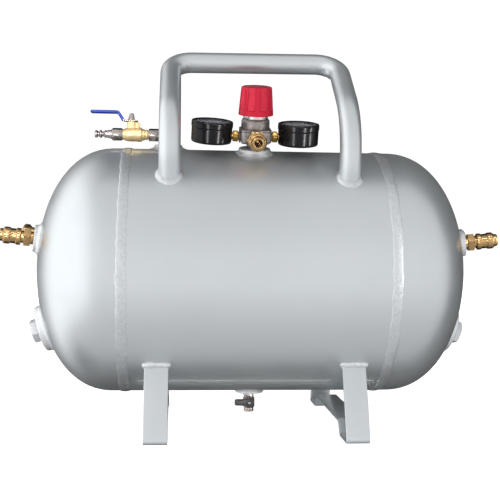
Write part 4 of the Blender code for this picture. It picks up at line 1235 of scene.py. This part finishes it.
def build_room():
    """The studio around the object, seen in its gloss: bright cloth in front,
    dark above and behind."""
    made, glow = glow_look("studio_room", 1.0)
    nodes = made.node_tree.nodes
    links = made.node_tree.links
    place = nodes.new("ShaderNodeTexCoord").outputs["Object"]
    split = nodes.new("ShaderNodeSeparateXYZ")
    links.new(place, split.inputs[0])

    def ease(source, start, end, low=0.0, high=1.0, kind="SMOOTHSTEP"):
        node = nodes.new("ShaderNodeMapRange")
        node.interpolation_type = kind
        for key, value in (("From Min", start), ("From Max", end), ("To Min", low), ("To Max", high)):
            node.inputs[key].default_value = value
        links.new(source, node.inputs["Value"])
        return node.outputs["Result"]

    def combined(operation, a, b):
        node = nodes.new("ShaderNodeMath")
        node.operation = operation
        links.new(a, node.inputs[0])
        links.new(b, node.inputs[1])
        return node.outputs[0]

    def times(a, b):
        return combined("MULTIPLY", a, b)

    def most(a, b):
        return combined("MAXIMUM", a, b)

    x, y, z = split.outputs["X"], split.outputs["Y"], split.outputs["Z"]
    front = times(ease(y, 0.75, -0.55), times(ease(z, 0.3, 4.75, 1.0, 0.8), ease(z, 0.0, -4.75, 1.0, 0.55)))
    left = times(ease(x, -0.4, -3.9, 0.0, 1.65), times(ease(z, 5.0, 3.4, 0.8, 1.0), ease(z, -4.0, -1.5)))
    left = times(left, ease(y, 4.3, 2.0))
    right = times(ease(x, 1.6, 4.3, 0.0, 0.98), times(ease(z, 2.8, 0.8), ease(z, -2.8, -0.8)))
    right = times(right, ease(y, 1.5, -0.5))
    links.new(ease(most(front, most(left, right)), 0.0, 1.6, 0.05, 1.6, "LINEAR"),
              glow.inputs["Strength"])
    radius = 5.0
    points = []
    faces = []
    rows, columns = 24, 48
    for row in range(rows + 1):
        tall = math.pi * (row / rows - 0.5)
        for column in range(columns):
            turn = TAU * column / columns
            points.append((radius * math.cos(tall) * math.cos(turn),
                           radius * math.cos(tall) * math.sin(turn), radius * math.sin(tall)))
    for row in range(rows):
        for column in range(columns):
            after = (column + 1) % columns
            low = row * columns
            faces.append((low + column, low + after, low + columns + after, low + columns + column))
    room = stage_mesh("studio_room", points, faces, made)
    room.visible_camera = False
    room.visible_shadow = False
    room.visible_transmission = False


def build_strip():
    """A bright strip under the tank, seen only in the gloss of its underside."""
    look = glow_look("studio_strip", 3.2)[0]
    left, right = -0.15, 0.17
    front, back = -0.0385, -0.035
    z = 0.0002
    corners = [(left, front, z), (right, front, z), (right, back, z), (left, back, z)]
    strip = stage_mesh("studio_strip", corners, [(0, 1, 2, 3)], look)
    strip.visible_camera = False
    strip.visible_diffuse = False
    strip.visible_shadow = False
    strip.visible_transmission = False


def lamp(name, place, aim, size, power, gloss=True, tint=(1, 1, 1)):
    """A rectangular area lamp in watts, turned to a point."""
    data = bpy.data.lights.new(name, "AREA")
    data.shape = "RECTANGLE"
    data.size, data.size_y = size
    data.energy = power
    data.color = tint
    made = bpy.data.objects.new(name, data)
    bpy.context.collection.objects.link(made)
    made.location = place
    made.rotation_euler = (Vector(aim) - Vector(place)).to_track_quat("-Z", "Y").to_euler()
    made.visible_glossy = gloss
    made.visible_camera = False
    return made


SHINY_WORDS = ("coupler", "gauge_neck", "valve", "drain_cock", "hose")


def pieces_named(name, words):
    """The pieces whose names hold one of some words, for a light that reaches only them."""
    made = bpy.data.collections.new(name)
    for item in list(bpy.data.objects):
        if item.type == "MESH" and "boss" not in item.name and any(word in item.name for word in words):
            made.objects.link(item)
    return made


def build_lights():
    middle = (0, 0, AXIS_Z)
    high = (-0.25, -2.2, 2.3)
    lilac = (1.0, 0.965, 1.0)
    lamp("left_box", (-1.9, -1.15, 0.32), middle, (0.9, 0.9), 14, False, lilac)
    lamp("right_box", (2.0, -1.25, 0.30), middle, (0.9, 0.9), 8, False, lilac)
    lamp("front_box", (-0.1, -3.2, 0.34), middle, (2.8, 1.4), 16, False)
    shiny = pieces_named("shiny_pieces", SHINY_WORDS)
    for made in (lamp("left_strip", (-0.72, -2.91, 0.45), (0, 0, 0.42), (0.26, 1.3), 34),
                 lamp("right_strip", (2.1, -1.36, 0.30), (0, 0, 0.35), (0.26, 2.4), 34),
                 lamp("high_strip", high, (0, 0, 0.40), (2.6, 0.16), 18)):
        made.light_linking.receiver_collection = shiny
    gauges = pieces_named("gauge_cases", ("gauge_shell", "gauge_rim"))
    gauge = (0, -0.075, 0.373)
    for made in (lamp("left_gauge_strip", (-0.35, -0.645, 0.11), gauge, (0.075, 0.42), 2.2),
                 lamp("right_gauge_strip", (0.375, -0.575, 0.11), gauge, (0.060, 0.42), 3.6),
                 lamp("side_gauge_strip", (0.696, -0.313, 0.179), gauge, (0.06, 0.42), 3.0),
                 lamp("high_gauge_strip", high, (0, 0, 0.40), (2.6, 0.16), 40)):
        made.light_linking.receiver_collection = gauges
    seam = lamp("seam_strip", (1.65, -2.19, 0.30), (0.19, -0.15, AXIS_Z), (0.35, 2.0), 12)
    seam.light_linking.receiver_collection = pieces_named("right_seam", ("right_girth_weld_bead",))
    lamp("top_fill", (-0.3, -0.2, 2.6), middle, (1.6, 1.6), 3, False)
    lamp("back_fill", (0.3, 3.0, 1.0), middle, (2.6, 1.6), 14, False)
    world = bpy.data.worlds.new("studio")
    bpy.context.scene.world = world
    world.use_nodes = True
    background = world.node_tree.nodes["Background"]
    background.inputs["Color"].default_value = (1, 1, 1, 1)
    background.inputs["Strength"].default_value = 1.05
    world.cycles_visibility.glossy = False
    world.cycles_visibility.diffuse = False


def build_camera():
    eye = Vector((-0.1006, -1.1948, 0.2440))
    yaw, pitch, roll = 0.08349, 0.01248, 0.01137
    forward = Vector((math.sin(yaw) * math.cos(pitch), math.cos(yaw) * math.cos(pitch), -math.sin(pitch)))
    right = Vector((math.cos(yaw), -math.sin(yaw), 0))
    up = right.cross(forward)
    x = right * math.cos(roll) + up * math.sin(roll)
    y = up * math.cos(roll) - right * math.sin(roll)
    turn = Matrix((x, y, -forward)).transposed().to_4x4()
    data = bpy.data.cameras.new("camera")
    data.sensor_width = 36.0
    data.lens = 64.36
    data.clip_start = 0.01
    camera = bpy.data.objects.new("camera", data)
    bpy.context.collection.objects.link(camera)
    camera.matrix_world = Matrix.Translation(eye) @ turn
    bpy.context.scene.camera = camera


build_floor()
build_room()
build_strip()
build_lights()
build_camera()
bpy.context.scene.view_settings.view_transform = "Standard"
